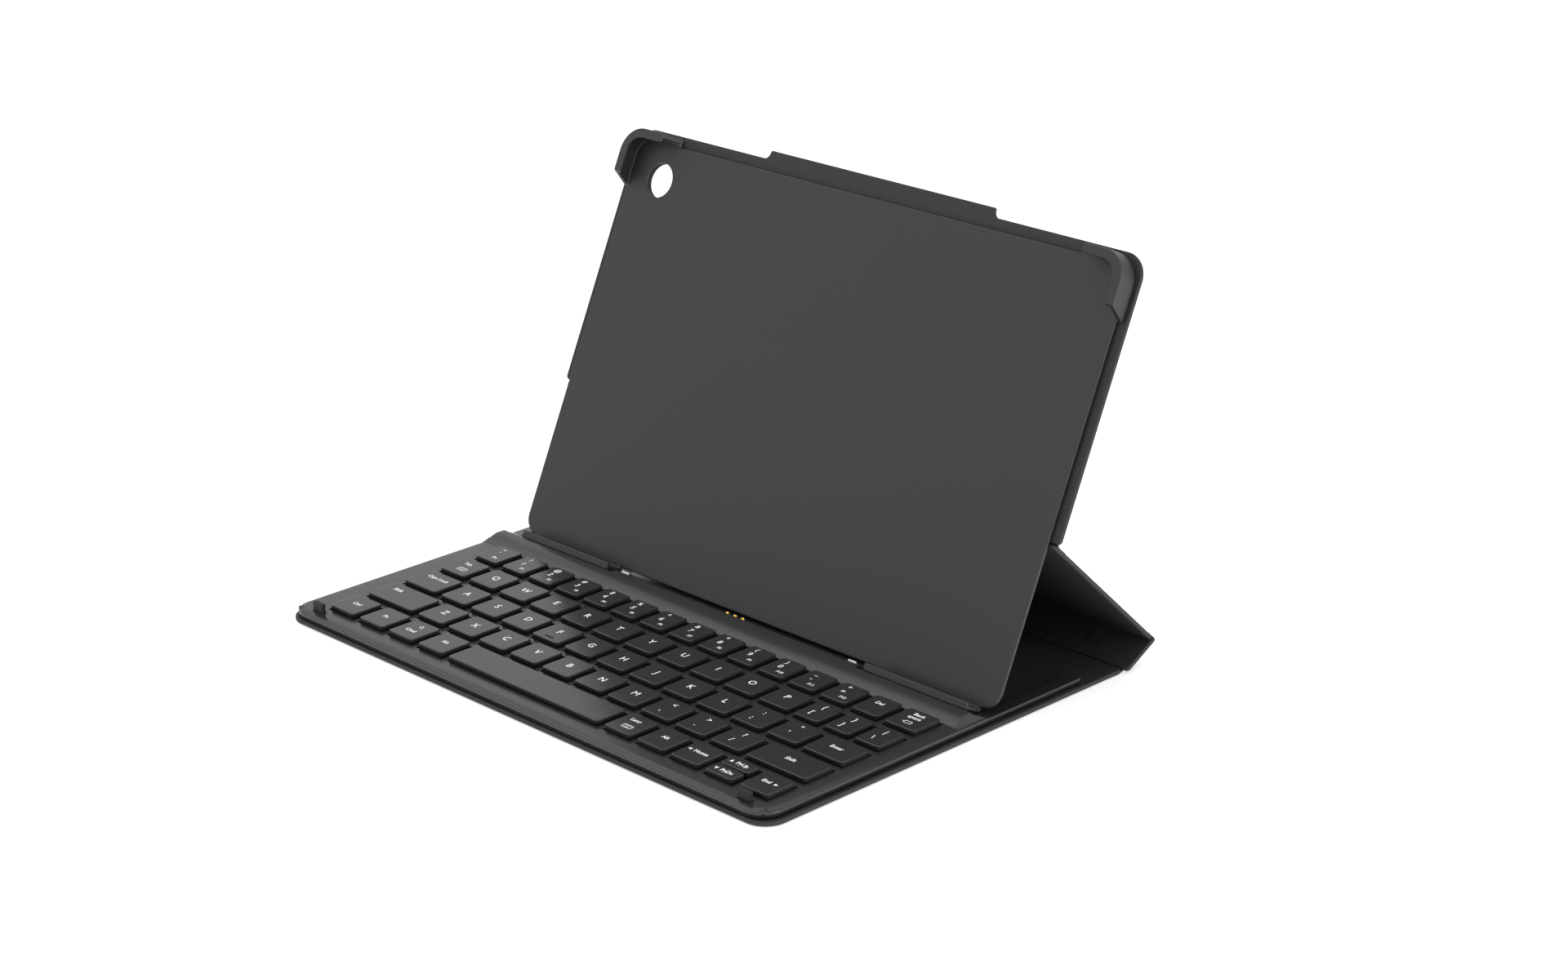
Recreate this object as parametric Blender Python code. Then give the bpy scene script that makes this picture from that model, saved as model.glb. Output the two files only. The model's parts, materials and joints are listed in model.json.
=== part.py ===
"""Folio keyboard case for a ten-inch tablet, stood open at its typing angle.

The keyboard lies flat on the lower cover.  A short spine and a stand panel
fold up behind it and carry the tray that holds the tablet, whose lower edge
rests on the slope behind the keys.  X runs along the keyboard, Y runs from
the front edge to the back, and Z is up from the table.
"""
import math

import bmesh
import bpy
from mathutils import Matrix

MM = 0.001
GAP = 0.3 * MM

# Folding covers.
COVER_THICKNESS = 1.8 * MM
COVER_CORNER = 9.0 * MM
CORNER_SEGMENTS = 10
EDGE_ROUNDING = 0.98
BASE_WIDTH = 253.0 * MM
BASE_CENTRE_X = -3.3 * MM
STAND_WIDTH = 251.0 * MM
BASE_DEPTH = 177.6 * MM
LID_WIDTH = 253.6 * MM
SPINE_LENGTH = 17.3 * MM
SPINE_HEADING = math.radians(28.0)

# Tablet tray, measured along its own sloping face from its lower edge.
TRAY_HEADING = math.radians(65.65)
TRAY_EDGE_Y = 21.8 * MM
TRAY_EDGE_Z = 6.27 * MM
TRAY_WIDTH = 246.0 * MM
TRAY_PLATE = 1.4 * MM
TRAY_HEIGHT = 159.3 * MM
LID_HEIGHT = 163.8 * MM
LID_FOLD_HEIGHT = 60.0 * MM
TABLET_WIDTH = 246.2 * MM
TABLET_HEIGHT = 161.0 * MM
TABLET_THICKNESS = 5.9 * MM
TABLET_CORNER = 8.0 * MM
TABLET_REST = 0.4 * MM
CLIP_WALL = 2.1 * MM
CLIP_REACH = 24.2 * MM
CLIP_HEIGHT = 23.2 * MM
CLIP_END_SLANT = 4.9 * MM
RIM_OVERLAP = 1.5 * MM
RIM_THICKNESS = 1.3 * MM
LIP_INNER_X = 67.0 * MM
LIP_OUTER_X = 115.8 * MM
LIP_FLOOR = 1.6 * MM
LIP_FRONT_HEIGHT = 0.9 * MM
CAMERA_X = -106.9 * MM
CAMERA_HEIGHT = 145.3 * MM
CAMERA_RADIUS = 6.75 * MM
TAB_HALF_WIDTH = 56.3 * MM
TAB_HEIGHT = 3.4 * MM
TAB_FLARE = 2.5 * MM

# Keys.
KEY_GAP = 3.3 * MM
KEY_DEPTH = 13.8 * MM
ROW_PITCH = 17.4 * MM
LETTER_KEY = 13.9 * MM
FIELD_WIDTH = 229.1 * MM
FIELD_FRONT_Y = -79.65 * MM
CAP_TOP = 7.1 * MM
CAP_BOTTOM = 4.0 * MM
CAP_CORNER = 1.3 * MM
CAP_CHAMFER = 0.35 * MM
KEY_CLEARANCE = 0.4 * MM
HALF_KEY_GAP = 0.7 * MM
WEB_DEPTH = 5.0 * MM
WEB_TOP = 4.35 * MM
WEB_LIFT = 0.05 * MM
WEB_OVERLAP = 2.0 * MM

# Keyboard deck.
DECK_WIDTH = 249.6 * MM
DECK_FRONT_Y = -88.1 * MM
DECK_REAR_Y = 70.0 * MM
DECK_CORNER = 8.4 * MM
DECK_EDGE_TOP = 4.4 * MM
DECK_TOP = 5.3 * MM
DECK_BEVEL = 2.5 * MM
DECK_SKIN = 0.7 * MM
DECK_WALL = 2.5 * MM
ARM_TOP = 4.3 * MM
ARM_WIDTH = 5.0 * MM
SLOPE_TOE_Y = 27.3 * MM
SLOPE_TOE_TOP = 3.0 * MM
RIDGE_TOP = 7.8 * MM
RIDGE_START = 0.8 * MM
RIDGE_RUN = 5.3 * MM
RIDGE_STEP_RUN = 2.2 * MM
RIDGE_STEP_TOP = 6.5 * MM
RIDGE_STEP_WIDTH = 0.6 * MM
RIDGE_END_INSET = 2.2 * MM
LEDGE_HALF_WIDTH = 64.0 * MM
LEDGE_DROP = 1.0 * MM
TROUGH_DROP = 2.4 * MM
TROUGH_FRONT = 7.35 * MM
SLOPE_SKIN = 0.9 * MM

# Inside the keyboard.
PLATE_THICKNESS = 0.3 * MM
MEMBRANE_THICKNESS = 0.2 * MM
MEMBRANE_BOTTOM = 2.65 * MM
INNER_MARGIN = 3.0 * MM
BOARD_SIZE = (80.0 * MM, 6.0 * MM, 1.0 * MM)
MAGNET_SIZE = (22.0 * MM, 5.0 * MM, 1.6 * MM)
MAGNET_X = 92.0 * MM

# Contacts, locating tabs and bumpers.
PIN_PITCH = 4.0 * MM
PIN_RADIUS = 0.75 * MM
PIN_FLANGE_RADIUS = 1.25 * MM
PIN_OFFSET = 4.4 * MM
PIN_TIP_DROP = 0.3 * MM
PIN_LENGTH = 5.2 * MM
PIN_FLANGE_DROP = 2.3 * MM
PIN_FLANGE_THICKNESS = 0.5 * MM
PIN_CLEARANCE = 0.25 * MM
BLOCK_SIZE = (14.0 * MM, 4.0 * MM, 2.0 * MM)
BLOCK_DROP = 3.4 * MM
LOCATOR_X = 59.4 * MM
LOCATOR_SIZE = (4.0 * MM, 0.8 * MM, 1.6 * MM)
LOCATOR_TIP_DROP = 0.3 * MM
BUMPER_X = 112.2 * MM
BUMPER_Y = -83.75 * MM
BUMPER_SIZE = (5.6 * MM, 2.0 * MM, 6.2 * MM)
BUMPER_BOTTOM = 2.6 * MM
DISC_RADIUS = 4.0 * MM
DISC_THICKNESS = 0.5 * MM
DISC_X = 104.0 * MM
DISC_ALONG = 9.5 * MM

HALF_COVER = COVER_THICKNESS / 2.0
BASE_REAR_Y = BASE_DEPTH / 2.0
DECK_BOTTOM = COVER_THICKNESS + GAP
TRAY_BACK_OFFSET = TRAY_PLATE + GAP + HALF_COVER
FIELD_REAR_Y = FIELD_FRONT_Y + 4.0 * ROW_PITCH + KEY_DEPTH


def clear_scene():
    for obj in list(bpy.data.objects):
        bpy.data.objects.remove(obj, do_unlink=True)


def new_collection(name):
    collection = bpy.data.collections.new(name)
    bpy.context.scene.collection.children.link(collection)
    return collection


clear_scene()
PARTS = new_collection("tablet_keyboard_case")
CUTTERS = new_collection("cutters")


def make_material(name, red, green, blue, roughness, metallic=0.0):
    material = bpy.data.materials.new(name)
    material.use_nodes = True
    shader = material.node_tree.nodes["Principled BSDF"]
    shader.inputs["Base Color"].default_value = (red, green, blue, 1.0)
    shader.inputs["Roughness"].default_value = roughness
    shader.inputs["Metallic"].default_value = metallic
    return material


COVER_SKIN = make_material("cover_skin", 0.022, 0.022, 0.024, 0.75)
TRAY_PLASTIC = make_material("tray_plastic", 0.045, 0.045, 0.047, 0.45)
DECK_PLASTIC = make_material("deck_plastic", 0.035, 0.035, 0.037, 0.32)
CAP_PLASTIC = make_material("cap_plastic", 0.030, 0.030, 0.032, 0.38)
RUBBER = make_material("rubber", 0.012, 0.012, 0.012, 0.85)
STEEL = make_material("steel", 0.55, 0.55, 0.56, 0.35, 1.0)
GOLD = make_material("gold", 0.80, 0.60, 0.25, 0.25, 1.0)
FILM = make_material("circuit_film", 0.35, 0.38, 0.40, 0.50)
BOARD = make_material("board", 0.02, 0.12, 0.05, 0.50)


def mesh_object(name, bm, collection, material=None, location=(0.0, 0.0, 0.0), parent=None):
    """Put a finished bmesh into an object; cutters and join pieces stay hidden."""
    bmesh.ops.recalc_face_normals(bm, faces=bm.faces)
    mesh = bpy.data.meshes.new(name)
    bm.to_mesh(mesh)
    bm.free()
    if material:
        mesh.materials.append(material)
    obj = bpy.data.objects.new(name, mesh)
    obj.location = location
    obj.parent = parent
    collection.objects.link(obj)
    if collection == CUTTERS:
        obj.hide_render = True
        obj.display_type = "WIRE"
    return obj


def cube_mesh(low, high):
    bm = bmesh.new()
    bmesh.ops.create_cube(bm, size=1.0)
    size = [b - a for a, b in zip(low, high)]
    centre = [(a + b) / 2.0 for a, b in zip(low, high)]
    bmesh.ops.scale(bm, vec=size, verts=bm.verts)
    bmesh.ops.translate(bm, vec=centre, verts=bm.verts)
    return bm


def runs_along(edge, axis):
    direction = (edge.verts[1].co - edge.verts[0].co).normalized()
    return abs(direction[axis]) > 0.999


def bevel(bm, edges, width, segments):
    bmesh.ops.bevel(bm, geom=list(edges), offset=width, offset_type="OFFSET", segments=segments,
                    profile=0.5, affect="EDGES", clamp_overlap=True)


def round_upright_corners(bm, radius, segments, where=lambda point: True):
    edges = [e for e in bm.edges if runs_along(e, 2) and where(e.verts[0].co)]
    bevel(bm, edges, radius, segments)


def box(name, low, high, material=None, parent=None, collection=None):
    return mesh_object(name, cube_mesh(low, high), collection or PARTS, material, parent=parent)


def prism(name, outline, x_low, x_high, material=None, collection=None):
    """Extrude a closed (y, z) outline along X."""
    bm = bmesh.new()
    corners = [bm.verts.new((x_low, y, z)) for y, z in outline]
    face = bm.faces.new(corners)
    extruded = bmesh.ops.extrude_face_region(bm, geom=[face])
    moved = [v for v in extruded["geom"] if isinstance(v, bmesh.types.BMVert)]
    bmesh.ops.translate(bm, vec=(x_high - x_low, 0.0, 0.0), verts=moved)
    return mesh_object(name, bm, collection or PARTS, material)


def rod_mesh(radius, length, segments, along=2):
    """A capped rod centred on its own origin, along one axis."""
    bm = bmesh.new()
    bmesh.ops.create_cone(bm, cap_ends=True, segments=segments, radius1=radius, radius2=radius,
                          depth=length)
    if along == 1:
        bmesh.ops.rotate(bm, verts=bm.verts, matrix=Matrix.Rotation(math.pi / 2.0, 3, "X"))
    return bm


def boolean(target, tool, operation):
    modifier = target.modifiers.new(tool.name, "BOOLEAN")
    modifier.operation = operation
    modifier.solver = "EXACT"
    modifier.object = tool


def cut(target, *tools):
    for tool in tools:
        boolean(target, tool, "DIFFERENCE")


def join(target, *tools):
    for tool in tools:
        boolean(target, tool, "UNION")


def fold_axis(name, location, heading, parent=None):
    axis = bpy.data.objects.new(name, None)
    axis.empty_display_size = 0.02
    axis.location = location
    axis.rotation_euler = (heading, 0.0, 0.0)
    axis.parent = parent
    PARTS.objects.link(axis)
    return axis


def along_tray(height, behind):
    """World (y, z) of a point this far up the tray and this far behind its front face."""
    y = TRAY_EDGE_Y + height * math.cos(TRAY_HEADING) + behind * math.sin(TRAY_HEADING)
    z = TRAY_EDGE_Z + height * math.sin(TRAY_HEADING) - behind * math.cos(TRAY_HEADING)
    return y, z


# Fold axes: the covers share one thickness and hinge at mid-thickness.
spine_y = BASE_REAR_Y + SPINE_LENGTH * math.cos(SPINE_HEADING)
spine_z = HALF_COVER + SPINE_LENGTH * math.sin(SPINE_HEADING)
lid_y, lid_z = along_tray(LID_FOLD_HEIGHT, TRAY_BACK_OFFSET)
STAND_LENGTH = math.hypot(lid_y - spine_y, lid_z - spine_z)
STAND_HEADING = math.atan2(lid_z - spine_z, lid_y - spine_y)
SPINE_AXIS = fold_axis("spine_fold_axis", (0.0, BASE_REAR_Y, HALF_COVER), SPINE_HEADING)
STAND_AXIS = fold_axis("rear_fold_axis", (0.0, SPINE_LENGTH, 0.0),
                       STAND_HEADING - SPINE_HEADING, SPINE_AXIS)
LID_AXIS = fold_axis("back_fold_axis", (0.0, STAND_LENGTH, 0.0),
                     TRAY_HEADING - STAND_HEADING, STAND_AXIS)


# Covers: flat boards in a soft skin, each with rounded edges along its folds.
def cover_panel(name, width, near, far, round_near, round_far, corner_side, parent=None):
    """A board lying in its parent's XY plane, from near to far along Y, centred on X."""
    bm = cube_mesh((-width / 2.0, near, -HALF_COVER), (width / 2.0, far, HALF_COVER))
    if corner_side:
        middle = (near + far) / 2.0
        round_upright_corners(bm, COVER_CORNER, CORNER_SEGMENTS,
                              lambda p: (p.y - middle) * corner_side > 0.0)
    rounded = [e for e in bm.edges if runs_along(e, 0)
               and ((round_near and abs(e.verts[0].co.y - near) < GAP)
                    or (round_far and abs(e.verts[0].co.y - far) < GAP))]
    bevel(bm, rounded, HALF_COVER * EDGE_ROUNDING, 3)
    return mesh_object(name, bm, PARTS, COVER_SKIN, parent=parent)


def fold_clearance():
    """Start of a panel beyond a fold, clear of the rounded edge on the axis."""
    return HALF_COVER + GAP


bottom_cover = cover_panel("bottom_cover", BASE_WIDTH, -BASE_REAR_Y, BASE_REAR_Y + HALF_COVER,
                           False, True, -1)
bottom_cover.location = (BASE_CENTRE_X, 0.0, HALF_COVER)
spine_panel = cover_panel("spine_panel", STAND_WIDTH, fold_clearance(), SPINE_LENGTH + HALF_COVER,
                          True, True, 0, SPINE_AXIS)
stand_panel = cover_panel("stand_panel", STAND_WIDTH, fold_clearance(), STAND_LENGTH + HALF_COVER,
                          True, True, 0, STAND_AXIS)
upper_cover = cover_panel("upper_cover", LID_WIDTH, fold_clearance(),
                          LID_HEIGHT - LID_FOLD_HEIGHT, True, False, 1, LID_AXIS)


def lid_tab():
    """The raised pull tab on the top edge of the upper cover."""
    low = LID_HEIGHT - LID_FOLD_HEIGHT - GAP
    high = low + GAP + TAB_HEIGHT
    bm = cube_mesh((-TAB_HALF_WIDTH, low, -HALF_COVER), (TAB_HALF_WIDTH, high, HALF_COVER))
    for vert in bm.verts:
        if vert.co.y < (low + high) / 2.0:
            vert.co.x += math.copysign(TAB_FLARE, vert.co.x)
    return mesh_object("lid_tab", bm, CUTTERS, parent=LID_AXIS)


def camera_cutter():
    bm = rod_mesh(CAMERA_RADIUS, 20.0 * MM, 48)
    place = (CAMERA_X, CAMERA_HEIGHT - LID_FOLD_HEIGHT, 0.0)
    return mesh_object("camera_cutter", bm, CUTTERS, location=place, parent=LID_AXIS)


camera_hole = camera_cutter()
join(upper_cover, lid_tab())
cut(upper_cover, camera_hole)


# Tray: one moulding with a thin plate, two top corner clips and two lower lips.
def tray_box(name, x_low, x_high, low, high, front, back, corner=0.0, where=None, part=False):
    """A block between two heights, from front to back as offsets behind the plate's face."""
    bm = cube_mesh((x_low, low - LID_FOLD_HEIGHT, TRAY_BACK_OFFSET - back),
                   (x_high, high - LID_FOLD_HEIGHT, TRAY_BACK_OFFSET - front))
    if corner:
        round_upright_corners(bm, corner, CORNER_SEGMENTS, where or (lambda point: True))
    material = TRAY_PLASTIC if part else None
    collection = PARTS if part else CUTTERS
    return mesh_object(name, bm, collection, material, parent=LID_AXIS)


def slant_clip_ends(block, side, low, inner):
    """Lean both free ends of a clip back, so that its wall is longer than its rim."""
    for vert in block.data.vertices:
        if vert.co.z > TRAY_BACK_OFFSET:
            if vert.co.y < low - LID_FOLD_HEIGHT + GAP:
                vert.co.y += CLIP_END_SLANT
            if abs(vert.co.x - inner) < GAP:
                vert.co.x += side * CLIP_END_SLANT


def build_tray():
    half = TRAY_WIDTH / 2.0
    pocket_half = TABLET_WIDTH / 2.0
    pocket_top = TABLET_HEIGHT - TABLET_REST
    clip_outer = pocket_half + CLIP_WALL
    clip_top = pocket_top + CLIP_WALL
    rim_front = -(TABLET_THICKNESS + RIM_THICKNESS)
    tray = tray_box("tablet_tray", -half, half, 0.0, TRAY_HEIGHT, 0.0, TRAY_PLATE,
                    TABLET_CORNER - 1.0 * MM, part=True)
    for side in (-1.0, 1.0):
        inner = side * (clip_outer - CLIP_REACH)
        outer = side * clip_outer
        clip_low = clip_top - CLIP_HEIGHT
        block = tray_box("clip_block", min(inner, outer), max(inner, outer), clip_low, clip_top,
                         rim_front, TRAY_PLATE, TABLET_CORNER + CLIP_WALL,
                         lambda p, s=side: p.x * s > clip_outer - GAP
                         and p.y > clip_top - LID_FOLD_HEIGHT - GAP)
        slant_clip_ends(block, side, clip_low, inner)
        join(tray, block)
        inner = side * LIP_INNER_X
        outer = side * LIP_OUTER_X
        join(tray, tray_box("lip_block", min(inner, outer), max(inner, outer),
                            -TABLET_REST - LIP_FLOOR, LIP_FRONT_HEIGHT, rim_front, TRAY_PLATE))
    cut(tray, tray_box("tablet_pocket", -pocket_half, pocket_half, -TABLET_REST, pocket_top,
                       -TABLET_THICKNESS, 0.0, TABLET_CORNER))
    cut(tray, tray_box("rim_opening", -pocket_half + RIM_OVERLAP, pocket_half - RIM_OVERLAP,
                       RIM_OVERLAP - TABLET_REST, pocket_top - RIM_OVERLAP,
                       -20.0 * MM, -TABLET_THICKNESS + GAP, TABLET_CORNER - RIM_OVERLAP))
    cut(tray, camera_hole)
    return tray


tablet_tray = build_tray()


# Key layout: each row is a list of names and widths, and a width of 0 shares what is left.
def fill_row(keys):
    spare = FIELD_WIDTH - KEY_GAP * (len(keys) - 1) - sum(width for _, width in keys)
    open_keys = sum(1 for _, width in keys if width == 0)
    x = -FIELD_WIDTH / 2.0
    placed = []
    for name, width in keys:
        width = width or spare / open_keys
        placed.append((name, x, x + width))
        x += width + KEY_GAP
    return placed


def letters(text):
    return [(letter, LETTER_KEY) for letter in text]


NUMBER_KEY = 12.05 * MM
MODIFIER_KEY = 13.6 * MM
ROWS = [
    [(name, MODIFIER_KEY) for name in ("ctrl", "fn", "search", "alt")]
    + [("space", 79.4 * MM)]
    + [(name, 0) for name in ("language", "alt_right", "left", "up", "right")],
    [("shift", 26.0 * MM)] + letters("zxcvbnm") + [("comma", LETTER_KEY), ("period", LETTER_KEY)]
    + [("slash", LETTER_KEY), ("shift_right", 0)],
    [("caps", 18.05 * MM)] + letters("asdfghjkl")
    + [("semicolon", LETTER_KEY), ("quote", LETTER_KEY), ("enter", 0)],
    [("tab", 13.7 * MM)] + letters("qwertyuiop")
    + [("bracket_left", 0), ("bracket_right", 0), ("backslash", 0)],
    [(name, NUMBER_KEY) for name in ("esc", "1", "2", "3", "4", "5", "6", "7", "8", "9", "0")]
    + [("minus", NUMBER_KEY), ("equals", NUMBER_KEY), ("delete", NUMBER_KEY), ("backspace", 0)],
]


def cap_mesh(x_low, x_high, y_low, y_high):
    bm = cube_mesh((x_low, y_low, CAP_BOTTOM), (x_high, y_high, CAP_TOP))
    round_upright_corners(bm, CAP_CORNER, 1)
    top = [e for e in bm.edges if all(v.co.z > CAP_TOP - GAP / 2.0 for v in e.verts)]
    bevel(bm, top, CAP_CHAMFER, 1)
    return bm


def move_origin(obj, point):
    """Put the object's origin at a point on its slide axis without moving its mesh."""
    obj.data.transform(Matrix.Translation([-value for value in point]))
    obj.location = point


def add_cap(name, x_low, x_high, y_low, y_high, collection):
    material = CAP_PLASTIC if collection == PARTS else None
    cap = mesh_object(name, cap_mesh(x_low, x_high, y_low, y_high), collection, material)
    move_origin(cap, ((x_low + x_high) / 2.0, (y_low + y_high) / 2.0, CAP_BOTTOM))
    return cap


def web(name, x_low, x_high, y_low, y_high):
    return box(name, (x_low, y_low, CAP_BOTTOM + WEB_LIFT), (x_high, y_high, WEB_TOP),
               collection=CUTTERS)


def key_pair(first, second, y):
    """Two neighbouring caps on one hidden web, so that both travel together."""
    name, x_low, x_high = first
    cap = add_cap("keys_" + name + "_" + second[0], x_low, x_high, y, y + KEY_DEPTH, PARTS)
    other = add_cap("cap_" + second[0], second[1], second[2], y, y + KEY_DEPTH, CUTTERS)
    middle = y + KEY_DEPTH / 2.0
    bar = web("web_" + name, x_high - WEB_OVERLAP, second[1] + WEB_OVERLAP,
              middle - WEB_DEPTH / 2.0, middle + WEB_DEPTH / 2.0)
    join(cap, bar, other)


def half_key_pair(x_low, x_high, y):
    """The up and down arrows: two half-depth caps in one key place."""
    half = (KEY_DEPTH - HALF_KEY_GAP) / 2.0
    middle = y + KEY_DEPTH / 2.0
    centre = (x_low + x_high) / 2.0
    down = add_cap("keys_down_up", x_low, x_high, y, y + half, PARTS)
    up = add_cap("cap_up", x_low, x_high, y + KEY_DEPTH - half, y + KEY_DEPTH, CUTTERS)
    bar = web("web_up", centre - WEB_DEPTH / 2.0, centre + WEB_DEPTH / 2.0,
              middle - WEB_OVERLAP, middle + WEB_OVERLAP)
    join(down, bar, up)


def build_keys():
    """Make every cap, and return the opening that each key place needs in the deck."""
    openings = []
    for index, keys in enumerate(ROWS):
        y = FIELD_FRONT_Y + index * ROW_PITCH
        waiting = None
        for key in fill_row(keys):
            name, x_low, x_high = key
            openings.append((x_low, x_high, y, y + KEY_DEPTH))
            alone = name in ("space", "left", "right", "enter", "backspace")
            if name == "up":
                half_key_pair(x_low, x_high, y)
            elif alone:
                add_cap("key_" + name, x_low, x_high, y, y + KEY_DEPTH, PARTS)
            elif waiting:
                key_pair(waiting, key, y)
                waiting = None
            else:
                waiting = key
    return openings


key_openings = build_keys()


# Deck: a moulded shell with a raised ridge, and a slope behind it for the tray.
def slope_line(drop, y):
    """Height at y of the plane that lies this far below the tray's lower edge."""
    start_y, start_z = along_tray(-drop, 0.0)
    return start_z - (y - start_y) / math.tan(TRAY_HEADING)


def slope_y(drop, z):
    start_y, start_z = along_tray(-drop, 0.0)
    return start_y + (start_z - z) * math.tan(TRAY_HEADING)


def deck_side(side, inset=0.0):
    """X of the deck's left (-1) or right (+1) edge, moved inwards by the inset."""
    return BASE_CENTRE_X + side * (DECK_WIDTH / 2.0 - inset)


def deck_body():
    bm = cube_mesh((deck_side(-1), DECK_FRONT_Y, DECK_BOTTOM),
                   (deck_side(1), DECK_REAR_Y, DECK_EDGE_TOP))
    round_upright_corners(bm, DECK_CORNER, CORNER_SEGMENTS, lambda p: p.y < 0.0)
    round_upright_corners(bm, DECK_CORNER / 4.0, 2, lambda p: p.y > 0.0)
    top = [f for f in bm.faces if f.normal.z > 0.9]
    bmesh.ops.inset_region(bm, faces=top, thickness=DECK_BEVEL, depth=0.0, use_even_offset=True)
    rim = DECK_BEVEL * 0.9
    for vert in {v for f in bm.faces if f.normal.z > 0.9 for v in f.verts}:
        inside_x = deck_side(-1, rim) < vert.co.x < deck_side(1, rim)
        inside_y = DECK_FRONT_Y + rim < vert.co.y < DECK_REAR_Y - rim
        if inside_x and inside_y:
            vert.co.z = DECK_TOP
    return mesh_object("keyboard_deck", bm, PARTS, DECK_PLASTIC)


def ridge_block():
    """The raised bar behind the keys, with sloping ends."""
    start = FIELD_REAR_Y + RIDGE_START
    back = SLOPE_TOE_Y
    step = start + RIDGE_STEP_RUN
    foot = DECK_EDGE_TOP - 1.0 * MM
    outline = [(start, foot), (start, DECK_TOP - 0.02 * MM), (step, RIDGE_STEP_TOP),
               (step + RIDGE_STEP_WIDTH, RIDGE_STEP_TOP), (start + RIDGE_RUN, RIDGE_TOP),
               (back, RIDGE_TOP), (back, foot)]
    ridge = prism("ridge_block", outline, deck_side(-1, GAP), deck_side(1, GAP),
                  collection=CUTTERS)
    for vert in ridge.data.vertices:
        lean = RIDGE_END_INSET * (vert.co.z - foot) / (RIDGE_TOP - foot)
        vert.co.x -= math.copysign(lean, vert.co.x)
    return ridge


def build_deck():
    far = DECK_REAR_Y + 10.0 * MM
    above = 20.0 * MM
    below = -1.0 * MM
    deck = deck_body()
    join(deck, ridge_block())

    # Slope: a high ledge across the middle and a deeper trough for each lip.
    ledge_front = slope_y(LEDGE_DROP, RIDGE_TOP)
    trough_front = along_tray(-TROUGH_DROP, -TROUGH_FRONT)[0]
    ledge_back = slope_y(LEDGE_DROP, ARM_TOP)
    cut(deck, prism("ledge_cutter",
                    [(ledge_front, above), (ledge_front, RIDGE_TOP), (ledge_back, ARM_TOP),
                     (far, ARM_TOP), (far, above)],
                    deck_side(-1, -GAP), deck_side(1, -GAP), collection=CUTTERS))
    trough_back = slope_y(TROUGH_DROP, SLOPE_TOE_TOP)
    outline = [(trough_front, above), (trough_front, slope_line(TROUGH_DROP, trough_front)),
               (trough_back, SLOPE_TOE_TOP), (SLOPE_TOE_Y, SLOPE_TOE_TOP), (SLOPE_TOE_Y, above)]
    for side in (-1.0, 1.0):
        near = side * LEDGE_HALF_WIDTH
        end = deck_side(side, ARM_WIDTH)
        cut(deck, prism("trough_cutter", outline, min(near, end), max(near, end),
                        collection=CUTTERS))
        edge = deck_side(side, -GAP)
        high = [(trough_front, above), (trough_front, slope_line(TROUGH_DROP, trough_front)),
                (slope_y(TROUGH_DROP, ARM_TOP), ARM_TOP), (SLOPE_TOE_Y, ARM_TOP),
                (SLOPE_TOE_Y, above)]
        cut(deck, prism("end_cutter", high, min(end, edge), max(end, edge), collection=CUTTERS))

    # Two arms run back beside the open floor.
    cut(deck, box("between_arms", (deck_side(-1, ARM_WIDTH), SLOPE_TOE_Y, below),
                  (deck_side(1, ARM_WIDTH), far, above), collection=CUTTERS))

    # Hollow under the keys, the ridge and the ledge, open towards the lower cover.
    inner_front = DECK_FRONT_Y + DECK_WALL
    skin_z = DECK_TOP - DECK_SKIN
    ridge_start = FIELD_REAR_Y + RIDGE_START
    inner_top = RIDGE_TOP - SLOPE_SKIN
    trough_skin = TROUGH_DROP + SLOPE_SKIN
    ledge_skin = LEDGE_DROP + SLOPE_SKIN
    toe = slope_y(trough_skin, DECK_BOTTOM + GAP) - GAP
    inner_back = trough_front - SLOPE_SKIN
    hollow = [(inner_front, below), (inner_front, skin_z), (ridge_start, skin_z),
              (ridge_start + RIDGE_RUN, inner_top), (inner_back, inner_top),
              (inner_back, slope_line(trough_skin, inner_back)),
              (toe, slope_line(trough_skin, toe)), (toe, below)]
    cut(deck, prism("hollow_cutter", hollow, deck_side(-1, DECK_WALL), deck_side(1, DECK_WALL),
                    collection=CUTTERS))
    ledge_inner = LEDGE_HALF_WIDTH - SLOPE_SKIN
    ledge_toe = SLOPE_TOE_Y - DECK_WALL
    under_ledge = [(ridge_start + RIDGE_RUN, below), (ridge_start + RIDGE_RUN, inner_top),
                   (slope_y(ledge_skin, inner_top), inner_top),
                   (ledge_toe, slope_line(ledge_skin, ledge_toe)), (ledge_toe, below)]
    cut(deck, prism("under_ledge_cutter", under_ledge, -ledge_inner, ledge_inner,
                    collection=CUTTERS))

    for x_low, x_high, y_low, y_high in key_openings:
        cut(deck, box("key_opening", (x_low - KEY_CLEARANCE, y_low - KEY_CLEARANCE, below),
                      (x_high + KEY_CLEARANCE, y_high + KEY_CLEARANCE, above),
                      collection=CUTTERS))
    return deck


keyboard_deck = build_deck()


# Contacts: parts that stand square to the ledge, so they are laid out in the tray's slope.
def on_slope(name, bm, x, drop, offset, collection, material=None):
    """Place a part whose local Z points up the tray's slope, at a depth below its edge."""
    y, z = along_tray(-drop, -offset)
    obj = mesh_object(name, bm, collection, material, location=(x, y, z))
    obj.rotation_euler = (TRAY_HEADING - math.pi / 2.0, 0.0, 0.0)
    return obj


def centred_box(size):
    return cube_mesh([-value / 2.0 for value in size], [value / 2.0 for value in size])


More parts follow.
